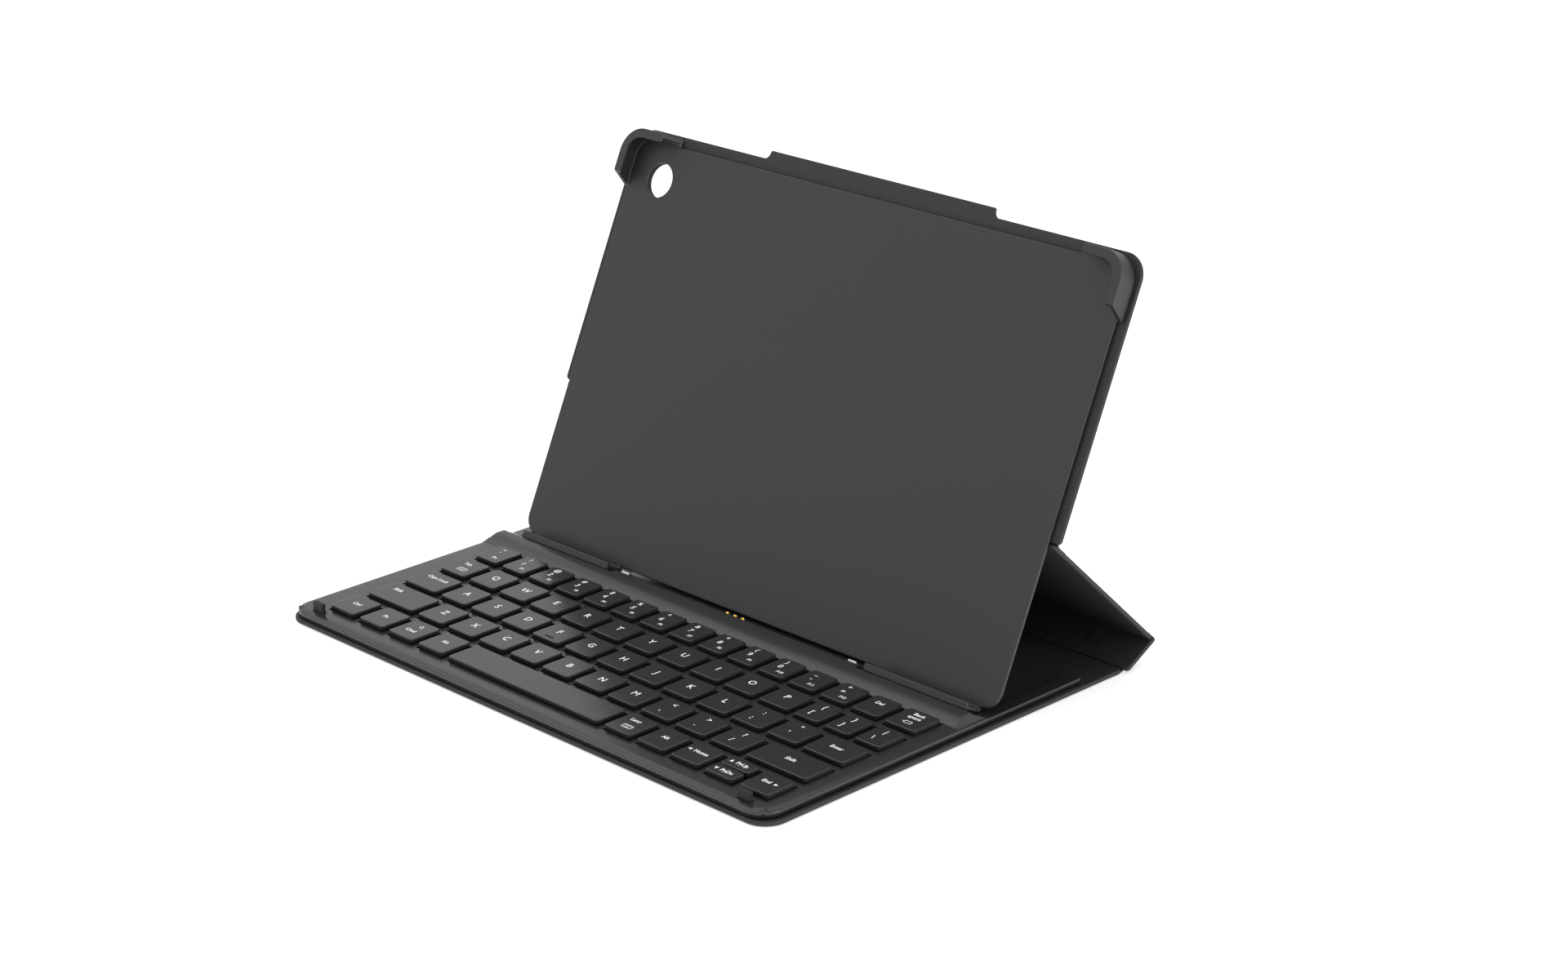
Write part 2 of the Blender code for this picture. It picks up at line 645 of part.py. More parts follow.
def build_contacts():
    block = on_slope("contact_block", centred_box(BLOCK_SIZE), 0.0,
                     BLOCK_DROP + BLOCK_SIZE[2] / 2.0, PIN_OFFSET, PARTS, RUBBER)
    pin_middle = PIN_TIP_DROP + PIN_LENGTH / 2.0
    flange_middle = PIN_FLANGE_DROP + PIN_FLANGE_THICKNESS / 2.0
    for index, name in enumerate(("left", "middle", "right")):
        x = (index - 1) * PIN_PITCH
        pin = on_slope("contact_pin_" + name, rod_mesh(PIN_RADIUS, PIN_LENGTH, 12), x,
                       pin_middle, PIN_OFFSET, PARTS, GOLD)
        flange = on_slope("flange_" + name, rod_mesh(PIN_FLANGE_RADIUS, PIN_FLANGE_THICKNESS, 12),
                          x, flange_middle, PIN_OFFSET, CUTTERS)
        join(pin, flange)
        bore = on_slope("bore_" + name, rod_mesh(PIN_RADIUS + PIN_CLEARANCE, 8.0 * MM, 12), x,
                        pin_middle, PIN_OFFSET, CUTTERS)
        cut(block, bore)
        cut(keyboard_deck, bore)
    for name, side in (("left", -1.0), ("right", 1.0)):
        middle = LOCATOR_TIP_DROP + LOCATOR_SIZE[2] / 2.0
        on_slope("locating_tab_" + name, centred_box(LOCATOR_SIZE), side * LOCATOR_X, middle,
                 PIN_OFFSET, PARTS, STEEL)
        slot = [value + 2.0 * GAP for value in LOCATOR_SIZE]
        slot[2] = 5.0 * MM
        cut(keyboard_deck, on_slope("slot_" + name, centred_box(slot), side * LOCATOR_X, middle,
                                    PIN_OFFSET, CUTTERS))


def build_bumpers():
    for name, side in (("left", -1.0), ("right", 1.0)):
        x = BASE_CENTRE_X + side * BUMPER_X
        half_x = BUMPER_SIZE[0] / 2.0
        half_y = BUMPER_SIZE[1] / 2.0
        top = BUMPER_BOTTOM + BUMPER_SIZE[2]
        bm = cube_mesh((x - half_x, BUMPER_Y - half_y, BUMPER_BOTTOM),
                       (x + half_x, BUMPER_Y + half_y, top))
        round_upright_corners(bm, half_y / 2.0, 2)
        mesh_object("bumper_" + name, bm, PARTS, RUBBER)
        cut(keyboard_deck, box("bumper_slot_" + name,
                               (x - half_x - GAP, BUMPER_Y - half_y - GAP, -MM),
                               (x + half_x + GAP, BUMPER_Y + half_y + GAP, 20.0 * MM),
                               collection=CUTTERS))


def build_inside():
    """The steel plate, the circuit film, the controller board and the docking magnets."""
    low_x = deck_side(-1, DECK_WALL + INNER_MARGIN)
    high_x = deck_side(1, DECK_WALL + INNER_MARGIN)
    front = FIELD_FRONT_Y - 1.5 * MM
    back = FIELD_REAR_Y
    bottom = DECK_BOTTOM
    box("key_plate", (low_x, front, bottom), (high_x, back, bottom + PLATE_THICKNESS), STEEL)
    box("membrane_circuit", (low_x, front, MEMBRANE_BOTTOM),
        (high_x, back, MEMBRANE_BOTTOM + MEMBRANE_THICKNESS), FILM)
    board_y = FIELD_REAR_Y + RIDGE_START + RIDGE_RUN - BOARD_SIZE[1] / 2.0
    box("controller_board", (-BOARD_SIZE[0] / 2.0, board_y, DECK_BOTTOM + GAP),
        (BOARD_SIZE[0] / 2.0, board_y + BOARD_SIZE[1], DECK_BOTTOM + GAP + BOARD_SIZE[2]), BOARD)
    magnet_y = FIELD_REAR_Y + RIDGE_START + RIDGE_RUN
    for name, side in (("left", -1.0), ("right", 1.0)):
        x = side * MAGNET_X
        box("dock_magnet_" + name, (x - MAGNET_SIZE[0] / 2.0, magnet_y, DECK_BOTTOM + GAP),
            (x + MAGNET_SIZE[0] / 2.0, magnet_y + MAGNET_SIZE[1],
             DECK_BOTTOM + GAP + MAGNET_SIZE[2]), STEEL)


def build_spine_disc():
    """A small round magnet disc let into the inner face of the spine."""
    place = (DISC_X, DISC_ALONG, HALF_COVER - DISC_THICKNESS / 2.0)
    mesh_object("spine_disc", rod_mesh(DISC_RADIUS, DISC_THICKNESS, 24), PARTS, STEEL, place,
                SPINE_AXIS)
    pocket = rod_mesh(DISC_RADIUS + GAP, DISC_THICKNESS + GAP, 24)
    cut(spine_panel, mesh_object("disc_pocket", pocket, CUTTERS, location=place,
                                 parent=SPINE_AXIS))


build_contacts()
build_bumpers()
build_inside()
build_spine_disc()
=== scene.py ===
"""Visual model of a folio keyboard case for a tablet, stood open at its typing angle.

The sections follow the case as it is put together: the cover boards and the skin over their
folds, the keyboard deck and what lies under it, the keys and their printing, the contacts and
bumpers, the tablet tray, and last the floor, the light and the camera.
"""
import json
import math

import bmesh
import bpy
from mathutils import Matrix, Vector


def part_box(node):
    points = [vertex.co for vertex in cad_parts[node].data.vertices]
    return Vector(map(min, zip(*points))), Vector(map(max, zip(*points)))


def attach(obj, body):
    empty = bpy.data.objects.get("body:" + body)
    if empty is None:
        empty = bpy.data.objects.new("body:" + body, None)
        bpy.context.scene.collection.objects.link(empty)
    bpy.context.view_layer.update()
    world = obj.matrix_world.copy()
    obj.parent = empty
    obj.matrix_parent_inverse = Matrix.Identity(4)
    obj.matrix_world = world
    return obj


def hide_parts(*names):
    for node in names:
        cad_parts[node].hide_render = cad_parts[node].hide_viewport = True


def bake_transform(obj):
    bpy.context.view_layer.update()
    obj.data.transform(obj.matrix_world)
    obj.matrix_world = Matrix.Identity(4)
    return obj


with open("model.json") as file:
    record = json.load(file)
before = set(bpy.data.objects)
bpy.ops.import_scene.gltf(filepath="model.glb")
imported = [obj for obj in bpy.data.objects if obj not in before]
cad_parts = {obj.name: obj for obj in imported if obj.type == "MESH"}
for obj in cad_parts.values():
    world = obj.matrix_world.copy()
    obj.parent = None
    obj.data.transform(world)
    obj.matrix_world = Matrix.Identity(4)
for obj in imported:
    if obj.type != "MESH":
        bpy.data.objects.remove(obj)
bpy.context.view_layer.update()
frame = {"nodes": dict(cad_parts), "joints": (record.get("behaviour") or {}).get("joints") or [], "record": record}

# ---------------------------------------------------------------------------------------------
# Cover boards: four stiff boards wrapped in a soft, fine-grained polyurethane skin.  The lower
# board carries the keyboard, the spine and the stand fold up behind it, and the upper board
# carries the tray.  The skin is turned over every edge, so no edge is sharp.
# ---------------------------------------------------------------------------------------------
MM = 0.001
CORNER_STEPS = 14
ROUND_SIDES = 64
BOARD_CORNER = 9.0 * MM
FOLD_CORNER = 1.6 * MM
SKIN_EDGE = 0.72 * MM
TAB_FLARE = 2.5 * MM
TAB_CORNER = 0.8 * MM
SKIN_GRAIN = 1.1 * MM
DRILL_LENGTH = 20.0 * MM

JOINTS = {joint["name"]: joint for joint in frame["joints"]}
SEAT = next(mount for mount in frame["record"]["mounts"] if mount["name"] == "tablet_seat")


def linear(hex_colour):
    """An sRGB hex colour as the linear RGBA that a shader takes."""
    channels = [int(hex_colour[start:start + 2], 16) / 255.0 for start in (1, 3, 5)]
    values = [c / 12.92 if c <= 0.04045 else ((c + 0.055) / 1.055) ** 2.4 for c in channels]
    return (*values, 1.0)


def add_node(tree, kind, settings=None, links=None):
    """Add a node, set its inputs or properties, and link its inputs to other nodes' outputs."""
    node = tree.nodes.new(kind)
    for key, value in (settings or {}).items():
        if isinstance(key, int) or key in node.inputs:
            node.inputs[key].default_value = value
        else:
            setattr(node, key, value)
    for key, socket in (links or {}).items():
        tree.links.new(socket, node.inputs[key])
    return node


def new_material(name, metallic=0.0, ior=1.46):
    """A material with its own Principled shader, whose constants are set on the shader."""
    material = bpy.data.materials.new(name)
    material.use_nodes = True
    shader = material.node_tree.nodes["Principled BSDF"]
    shader.inputs["Metallic"].default_value = metallic
    if not metallic:
        shader.inputs["IOR"].default_value = ior
    return material, material.node_tree, shader


def drifting_finish(tree, shader, dark, light, gloss, rough, patch):
    """Colour and roughness that drift a little over patches, as handled surfaces do."""
    place = add_node(tree, "ShaderNodeTexCoord").outputs["Object"]
    drift = add_node(tree, "ShaderNodeTexNoise",
                     {"Scale": 1.0 / patch, "Detail": 4.0, "Roughness": 0.55}, {"Vector": place})
    colour = add_node(tree, "ShaderNodeMix",
                      {"data_type": "RGBA", 6: linear(dark), 7: linear(light)},
                      {0: drift.outputs["Fac"]})
    roughness = add_node(tree, "ShaderNodeMapRange", {"To Min": gloss, "To Max": rough},
                         {"Value": drift.outputs["Fac"]})
    tree.links.new(colour.outputs[2], shader.inputs["Base Color"])
    tree.links.new(roughness.outputs["Result"], shader.inputs["Roughness"])
    return place


def coated_skin(name, dark, light):
    """Polyurethane skin pressed with a fine pebble grain: matte, with soft sparkle-free bumps.

    The real grain is about 0.3 mm, and it is drawn three times as coarse so that it shows.
    """
    material, tree, shader = new_material(name, ior=1.45)
    place = drifting_finish(tree, shader, dark, light, 0.56, 0.72, 40.0 * MM)
    pebble = add_node(tree, "ShaderNodeTexVoronoi", {"Scale": 1.0 / SKIN_GRAIN, "Randomness": 1.0},
                      {"Vector": place})
    crease = add_node(tree, "ShaderNodeTexNoise", {"Scale": 0.6 / SKIN_GRAIN, "Detail": 5.0},
                      {"Vector": place})
    grain = add_node(tree, "ShaderNodeMath", {"operation": "MULTIPLY_ADD", 1: 0.5},
                     {0: pebble.outputs["Distance"], 2: crease.outputs["Fac"]})
    bump = add_node(tree, "ShaderNodeBump", {"Strength": 0.35, "Distance": 0.12 * MM},
                    {"Height": grain.outputs["Value"]})
    tree.links.new(bump.outputs["Normal"], shader.inputs["Normal"])
    return material


def panel_place(joint, direction):
    """A board's own axes: origin on its fold, X across, Y along it, Z out of its inner face."""
    turn = Matrix.Rotation(math.atan2(direction.z, direction.y), 4, "X")
    return Matrix.Translation(JOINTS[joint]["pos_m"]) @ turn


def box_in(node, place):
    """Lowest and highest corner of a CAD node, in a board's own axes."""
    inverse = place.inverted()
    points = [inverse @ vertex.co for vertex in frame["nodes"][node].data.vertices]
    low = Vector([min(point[axis] for point in points) for axis in range(3)])
    high = Vector([max(point[axis] for point in points) for axis in range(3)])
    return low, high


def arc(centre, radius, start, end, steps=CORNER_STEPS):
    """Points on an arc between two angles in degrees."""
    angles = [math.radians(start + (end - start) * step / steps) for step in range(steps + 1)]
    return [(centre[0] + radius * math.cos(a), centre[1] + radius * math.sin(a)) for a in angles]


def board_outline(left, right, near, far, near_radius, far_radius, far_detail=()):
    """A board's outline, counter-clockwise, with rounded corners and points along its far edge."""
    outline = arc((left + near_radius, near + near_radius), near_radius, 180, 270)
    outline += arc((right - near_radius, near + near_radius), near_radius, 270, 360)
    outline += arc((right - far_radius, far - far_radius), far_radius, 0, 90)
    outline += list(far_detail)
    outline += arc((left + far_radius, far - far_radius), far_radius, 90, 180)
    return outline


def prism_mesh(outline, low, high):
    """A flat outline, extruded from one height to another."""
    bm = bmesh.new()
    face = bm.faces.new([bm.verts.new((x, y, low)) for x, y in outline])
    grown = bmesh.ops.extrude_face_region(bm, geom=[face])
    moved = [item for item in grown["geom"] if isinstance(item, bmesh.types.BMVert)]
    bmesh.ops.translate(bm, vec=(0.0, 0.0, high - low), verts=moved)
    bmesh.ops.recalc_face_normals(bm, faces=bm.faces)
    return bm


def mesh_piece(name, bm, material=None):
    """A finished shape as a smooth-shaded object in the scene."""
    mesh = bpy.data.meshes.new(name)
    bm.to_mesh(mesh)
    bm.free()
    mesh.shade_smooth()
    if material:
        mesh.materials.append(material)
    piece = bpy.data.objects.new(name, mesh)
    bpy.context.scene.collection.objects.link(piece)
    return piece


def settle(piece, place=None):
    """Turn a piece's modifiers into plain mesh, and put its place into that mesh."""
    depsgraph = bpy.context.evaluated_depsgraph_get()
    mesh = bpy.data.meshes.new_from_object(piece.evaluated_get(depsgraph),
                                           preserve_all_data_layers=True, depsgraph=depsgraph)
    piece.modifiers.clear()
    piece.data = mesh
    if place:
        mesh.transform(place)
    return piece


def soften(piece, width, segments=3, angle=30.0):
    """Round every edge sharper than the angle, and keep the flats flat in the light."""
    modifier = piece.modifiers.new("soft_edges", "BEVEL")
    modifier.width = width
    modifier.segments = segments
    modifier.limit_method = "ANGLE"
    modifier.angle_limit = math.radians(angle)
    modifier.use_clamp_overlap = False
    flats = piece.modifiers.new("flat_faces", "WEIGHTED_NORMAL")
    flats.weight = 50
    flats.keep_sharp = True


def cut_away(piece, cutter):
    """Cut one shape out of a piece, and remove the cutter."""
    modifier = piece.modifiers.new("cut", "BOOLEAN")
    modifier.operation = "DIFFERENCE"
    modifier.solver = "EXACT"
    modifier.object = cutter
    settle(piece)
    bpy.data.objects.remove(cutter)


def put_in_place(piece, body, slot, *nodes):
    """Hand a finished piece to the frame: what moves it and what it stands for; its slot is not used."""
    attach(piece, body)
    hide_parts(*nodes)
    return piece


def board(node, body, place, outline, low, high, hole=None):
    """One wrapped board with its edges turned over."""
    piece = mesh_piece(node + "_board", prism_mesh(outline, low.z, high.z), COVER_SKIN)
    if hole:
        cut_away(piece, hole)
    soften(piece, SKIN_EDGE)
    settle(piece, place)
    return put_in_place(piece, body, "cover_skin", node)


def tab_outline(half_width, edge, height):
    """The pull tab on the upper board's edge, with a hollow fillet at each foot."""
    top = edge + height
    right = arc((half_width + TAB_FLARE, edge + TAB_FLARE), TAB_FLARE, 270, 180, 6)
    right += arc((half_width - TAB_CORNER, top - TAB_CORNER), TAB_CORNER, 0, 90, 4)
    return right + [(-x, y) for x, y in reversed(right)]


def camera_drill(radius, x, y):
    """A round drill for the camera opening, square to the upper board."""
    bm = bmesh.new()
    bmesh.ops.create_cone(bm, cap_ends=True, segments=ROUND_SIDES, radius1=radius,
                          radius2=radius, depth=DRILL_LENGTH)
    bmesh.ops.translate(bm, vec=(x, y, 0.0), verts=bm.verts)
    return mesh_piece("camera_drill", bm)


COVER_SKIN = coated_skin("pebbled_polyurethane_skin", "#1f1f20", "#29292a")

spine_fold = Vector(JOINTS["spine_fold"]["pos_m"])
rear_fold = Vector(JOINTS["rear_fold"]["pos_m"])
back_fold = Vector(JOINTS["back_fold"]["pos_m"])
tray_normal = Vector(SEAT["axis"])
BASE = panel_place("spine_fold", Vector((0.0, 1.0, 0.0)))
SPINE = panel_place("spine_fold", rear_fold - spine_fold)
STAND = panel_place("rear_fold", back_fold - rear_fold)
LID = panel_place("back_fold", Vector((0.0, tray_normal.z, -tray_normal.y)))

for node, body, place, near_radius in (("bottom_cover", "base", BASE, BOARD_CORNER),
                                       ("spine_panel", "spine", SPINE, FOLD_CORNER),
                                       ("stand_panel", "stand", STAND, FOLD_CORNER)):
    low, high = box_in(node, place)
    board(node, body, place,
          board_outline(low.x, high.x, low.y, high.y, near_radius, FOLD_CORNER), low, high)

CAMERA_RADIUS = 6.75 * MM
CAMERA_X = -106.9 * MM
CAMERA_UP = 85.3 * MM
TAB_HALF_WIDTH = 56.3 * MM
TAB_HEIGHT = 3.4 * MM
low, high = box_in("upper_cover", LID)
lid_edge = high.y - TAB_HEIGHT
board("upper_cover", "lid", LID,
      board_outline(low.x, high.x, low.y, lid_edge, FOLD_CORNER, BOARD_CORNER,
                    tab_outline(TAB_HALF_WIDTH, lid_edge, TAB_HEIGHT)),
      low, high, camera_drill(CAMERA_RADIUS, CAMERA_X, CAMERA_UP))


# ---------------------------------------------------------------------------------------------
# Fold skins: the same polyurethane skin, bridging the outside of each fold as a live hinge.
# Each is a thin strip glued to both boards, shaped round the fold as the case stands open.
# ---------------------------------------------------------------------------------------------
STRIP_REACH = 6.0 * MM
STRIP_BEND = 1.5 * MM
STRIP_PROUD = 0.06 * MM
STRIP_THICKNESS = 0.30 * MM
STRIP_INSET = 0.5 * MM
BEND_STEPS = 10


def outer_corner(place_a, place_b, offset):
    """Where the two boards' outer faces, moved out by the offset, would meet."""
    along_a = (place_a.to_3x3() @ Vector((0.0, 1.0, 0.0))).normalized()
    along_b = (place_b.to_3x3() @ Vector((0.0, 1.0, 0.0))).normalized()
    out_a = (place_a.to_3x3() @ Vector((0.0, 0.0, -1.0))).normalized()
    turn = along_a.angle(along_b)
    side = 1.0 if along_b.dot(out_a) < 0.0 else -1.0
    corner = place_b.translation + out_a * offset + along_a * side * offset * math.tan(turn / 2.0)
    return corner, along_a, along_b


def strip_line(place_a, place_b, offset):
    """The strip's section line: along one board, round the fold, and along the other."""
    corner, along_a, along_b = outer_corner(place_a, place_b, offset)
    start = corner - along_a * STRIP_BEND
    end = corner + along_b * STRIP_BEND
    line = [corner - along_a * STRIP_REACH]
    for step in range(BEND_STEPS + 1):
        t = step / BEND_STEPS
        line.append(start * (1.0 - t) ** 2 + corner * 2.0 * t * (1.0 - t) + end * t ** 2)
    line.append(corner + along_b * STRIP_REACH)
    return line


def fold_skin(name, place_a, place_b, boards):
    """One strip over a fold, as wide as the narrower of the two boards that it joins."""
    outer = strip_line(place_a, place_b, board_half + STRIP_PROUD)
    inner = strip_line(place_a, place_b, board_half + STRIP_PROUD - STRIP_THICKNESS)
    left = max(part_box(node)[0].x for node in boards) + STRIP_INSET
    right = min(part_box(node)[1].x for node in boards) - STRIP_INSET
    bm = bmesh.new()
    section = outer + list(reversed(inner))
    face = bm.faces.new([bm.verts.new((left, point.y, point.z)) for point in section])
    grown = bmesh.ops.extrude_face_region(bm, geom=[face])
    moved = [item for item in grown["geom"] if isinstance(item, bmesh.types.BMVert)]
    bmesh.ops.translate(bm, vec=(right - left, 0.0, 0.0), verts=moved)
    bmesh.ops.recalc_face_normals(bm, faces=bm.faces)
    piece = mesh_piece(name, bm, COVER_SKIN)
    piece.data.set_sharp_from_angle(angle=math.radians(35.0))
    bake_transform(piece)
    return piece


board_half = (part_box("bottom_cover")[1].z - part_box("bottom_cover")[0].z) / 2.0
AT_REAR = Matrix.Translation(rear_fold) @ SPINE.to_3x3().to_4x4()
AT_BACK = Matrix.Translation(back_fold) @ STAND.to_3x3().to_4x4()
fold_skin("front_fold_skin", BASE, SPINE, ("bottom_cover", "spine_panel"))
fold_skin("rear_fold_skin", AT_REAR, STAND, ("spine_panel", "stand_panel"))
fold_skin("back_fold_skin", AT_BACK, LID, ("stand_panel", "upper_cover"))


# ---------------------------------------------------------------------------------------------
# Spine disc: a small round magnet under a cap of smoother skin, let into the spine's inner face.
# ---------------------------------------------------------------------------------------------
DISC_DOME = 0.10 * MM
DISC_SKIN = coated_skin("disc_skin", "#3a3a3c", "#464648")

low, high = box_in("spine_disc", SPINE)
disc_radius = (high.x - low.x) / 2.0
bm = bmesh.new()
bmesh.ops.create_cone(bm, cap_ends=True, segments=ROUND_SIDES, radius1=disc_radius,
                      radius2=disc_radius, depth=high.z - low.z)
bmesh.ops.translate(bm, vec=(low + high) / 2.0, verts=bm.verts)
disc = mesh_piece("spine_disc_cap", bm, DISC_SKIN)
soften(disc, DISC_DOME, 2)
settle(disc, SPINE)
put_in_place(disc, "spine", "steel", "spine_disc")


# ---------------------------------------------------------------------------------------------
# Keyboard deck: one ABS moulding with a satin, slightly glossy face.  A ridge and a slope stand
# behind the keys, two arms run back, and every opening has a small moulded radius.
# ---------------------------------------------------------------------------------------------
DECK_EDGE = 0.35 * MM
OPENING_EDGE_SHARE = 0.25
WELD = 0.001 * MM
PLASTIC_GRAIN = 0.7 * MM
FACING_UP = 0.99


def satin_abs(name, dark, light, gloss, rough, depth):
    """Injection-moulded ABS: smooth, with a very fine spark grain that breaks up reflections.

    The real grain is under 0.1 mm, and it is drawn as coarse as it needs to show.
    """
    material, tree, shader = new_material(name, ior=1.47)
    place = drifting_finish(tree, shader, dark, light, gloss, rough, 55.0 * MM)
    grain = add_node(tree, "ShaderNodeTexNoise",
                     {"Scale": 1.0 / PLASTIC_GRAIN, "Detail": 3.0, "Roughness": 0.6},
                     {"Vector": place})
    bump = add_node(tree, "ShaderNodeBump", {"Strength": 0.2, "Distance": depth},
                    {"Height": grain.outputs["Fac"]})
    tree.links.new(bump.outputs["Normal"], shader.inputs["Normal"])
    return material


def merged_copy(node):
    """A CAD node's shape with its loose triangles joined back into flat faces."""
    bm = bmesh.new()
    bm.from_mesh(frame["nodes"][node].data)
    bmesh.ops.remove_doubles(bm, verts=bm.verts, dist=WELD)
    bmesh.ops.dissolve_limit(bm, angle_limit=math.radians(0.3), verts=bm.verts, edges=bm.edges)
    return bm


def moulding(node, name, body, slot, material, edge, segments=2, angle=30.0):
    """A moulded part in its exact shape, with every sharp edge given a small radius."""
    piece = mesh_piece(name, merged_copy(node), material)
    soften(piece, edge, segments, angle)
    settle(piece)
    return put_in_place(piece, body, slot, node)


def weigh_edges(bm, level, share, angle=30.0):
    """Give every sharp edge its full rounding, but the openings in the face at the level less.

    The foot's edges stay sharp: they stand on the cover board, out of sight.
    """
    foot = min(vert.co.z for vert in bm.verts)
    layer = bm.edges.layers.float.new("bevel_weight_edge")
    for edge in bm.edges:
        at_foot = all(abs(vert.co.z - foot) < WELD for vert in edge.verts)
        if edge.calc_face_angle(0.0) > math.radians(angle) and not at_foot:
            at_level = all(abs(vert.co.z - level) < WELD for vert in edge.verts)
            edge[layer] = share if at_level else 1.0


DECK_ABS = satin_abs("satin_deck_abs", "#262627", "#2b2b2c", 0.20, 0.28, 0.012 * MM)
bm = merged_copy("keyboard_deck")
flat_tops = [face for face in bm.faces if face.normal.z > FACING_UP]
DECK_TOP = max(flat_tops, key=lambda face: face.calc_area()).verts[0].co.z
weigh_edges(bm, DECK_TOP, OPENING_EDGE_SHARE)
deck = mesh_piece("deck_moulding", bm, DECK_ABS)
soften(deck, DECK_EDGE, 2)
deck.modifiers["soft_edges"].limit_method = "WEIGHT"
settle(deck)
put_in_place(deck, "base", "deck_plastic", "keyboard_deck")


# ---------------------------------------------------------------------------------------------
# Under the deck: a spring-steel plate, the printed membrane, the controller board and two
# nickel-plated magnets that pull the tray into its slope.
# ---------------------------------------------------------------------------------------------
BRUSH_WIDTH = 0.4 * MM
TRACE_WIDTH = 1.2 * MM
WAVE_TURN = 20.0


def brushed_metal(name, dark, light, gloss, rough, stretch):
    """Rolled or plated metal with fine lines along its length."""
    material, tree, shader = new_material(name, metallic=1.0)
    place = drifting_finish(tree, shader, dark, light, gloss, rough, 25.0 * MM)
    along = add_node(tree, "ShaderNodeMapping", {"Scale": (1.0 / stretch, 1.0, 1.0)},
                     {"Vector": place})
    lines = add_node(tree, "ShaderNodeTexNoise", {"Scale": 1.0 / BRUSH_WIDTH, "Detail": 2.0},
                     {"Vector": along.outputs["Vector"]})
    bump = add_node(tree, "ShaderNodeBump", {"Strength": 0.25, "Distance": 0.01 * MM},
                    {"Height": lines.outputs["Fac"]})
    tree.links.new(bump.outputs["Normal"], shader.inputs["Normal"])
    return material


def traced_film(name, ground, trace, width, rough):
    """A clear or lacquered sheet with rows of conductors printed on it.

    A wave texture turns by 20 radians over a length of one divided by its scale.
    """
    material, tree, shader = new_material(name, ior=1.57)
    place = add_node(tree, "ShaderNodeTexCoord").outputs["Object"]
    rows = add_node(tree, "ShaderNodeTexWave",
                    {"Scale": 1.0 / (WAVE_TURN * width), "Distortion": 6.0, "Detail": 1.0},
                    {"Vector": place})
    sharp = add_node(tree, "ShaderNodeMapRange", {"From Min": 0.62, "From Max": 0.70},
                     {"Value": rows.outputs["Fac"]})
    colour = add_node(tree, "ShaderNodeMix",
                      {"data_type": "RGBA", 6: linear(ground), 7: linear(trace)},
                      {0: sharp.outputs["Result"]})
    tree.links.new(colour.outputs[2], shader.inputs["Base Color"])
    shader.inputs["Roughness"].default_value = rough
    return material


SPRING_STEEL = brushed_metal("rolled_spring_steel", "#7d7f82", "#8f9194", 0.30, 0.42, 12.0)
NICKEL = brushed_metal("nickel_plated_magnet", "#b9b5ab", "#c9c5bb", 0.22, 0.34, 4.0)
MEMBRANE = traced_film("printed_polyester_membrane", "#161617", "#2c2c2e", TRACE_WIDTH, 0.5)
BOARD_LACQUER = traced_film("solder_mask_board", "#0d3a24", "#1f5a3a", TRACE_WIDTH, 0.30)

for node, material in (("key_plate", SPRING_STEEL), ("membrane_circuit", MEMBRANE),
                       ("controller_board", BOARD_LACQUER), ("dock_magnet_left", NICKEL),
                       ("dock_magnet_right", NICKEL)):
    frame["nodes"][node].data.materials.clear()
    frame["nodes"][node].data.materials.append(material)


# ---------------------------------------------------------------------------------------------
# Key caps: moulded ABS, each a flat-topped tile with rounded corners and a rounded top edge.
# One node tree makes every cap: a profile swept round the cap's outline, with the top and the
# underside filled.
# ---------------------------------------------------------------------------------------------
CAP_EDGE = 0.42 * MM
CAP_CORNER = 1.5 * MM
CAP_CORNER_STEPS = 6
CAP_EDGE_STEPS = 4
CAP_CHAMFER = 0.35 * MM
CAP_WELD = 0.06 * MM
CAP_ABS = satin_abs("satin_key_abs", "#222223", "#272728", 0.16, 0.23, 0.012 * MM)
# The caps' upright faces take a near-black copy of the cap plastic: painted shade on their sides, not a second
# plastic.
CAP_SIDE_SHADE = satin_abs("painted_shade_key_side", "#0c0c0c", "#121212", 0.6, 0.7, 0.02 * MM)
SHADED_SIDE_SLOPE = 0.25
CAP_SIZES = ("Width", "Depth", "Height", "Corner", "Edge")


def rounded_rectangle(tree, width, depth, corner):
    """A cap's outline as a curve, with its corners filleted."""
    outline = add_node(tree, "GeometryNodeCurvePrimitiveQuadrilateral", {"mode": "RECTANGLE"},
                       {"Width": width, "Height": depth})
    return add_node(tree, "GeometryNodeFilletCurve",
                    {"mode": "POLY", "Count": CAP_CORNER_STEPS},
                    {"Curve": outline.outputs["Curve"], "Radius": corner}).outputs["Curve"]


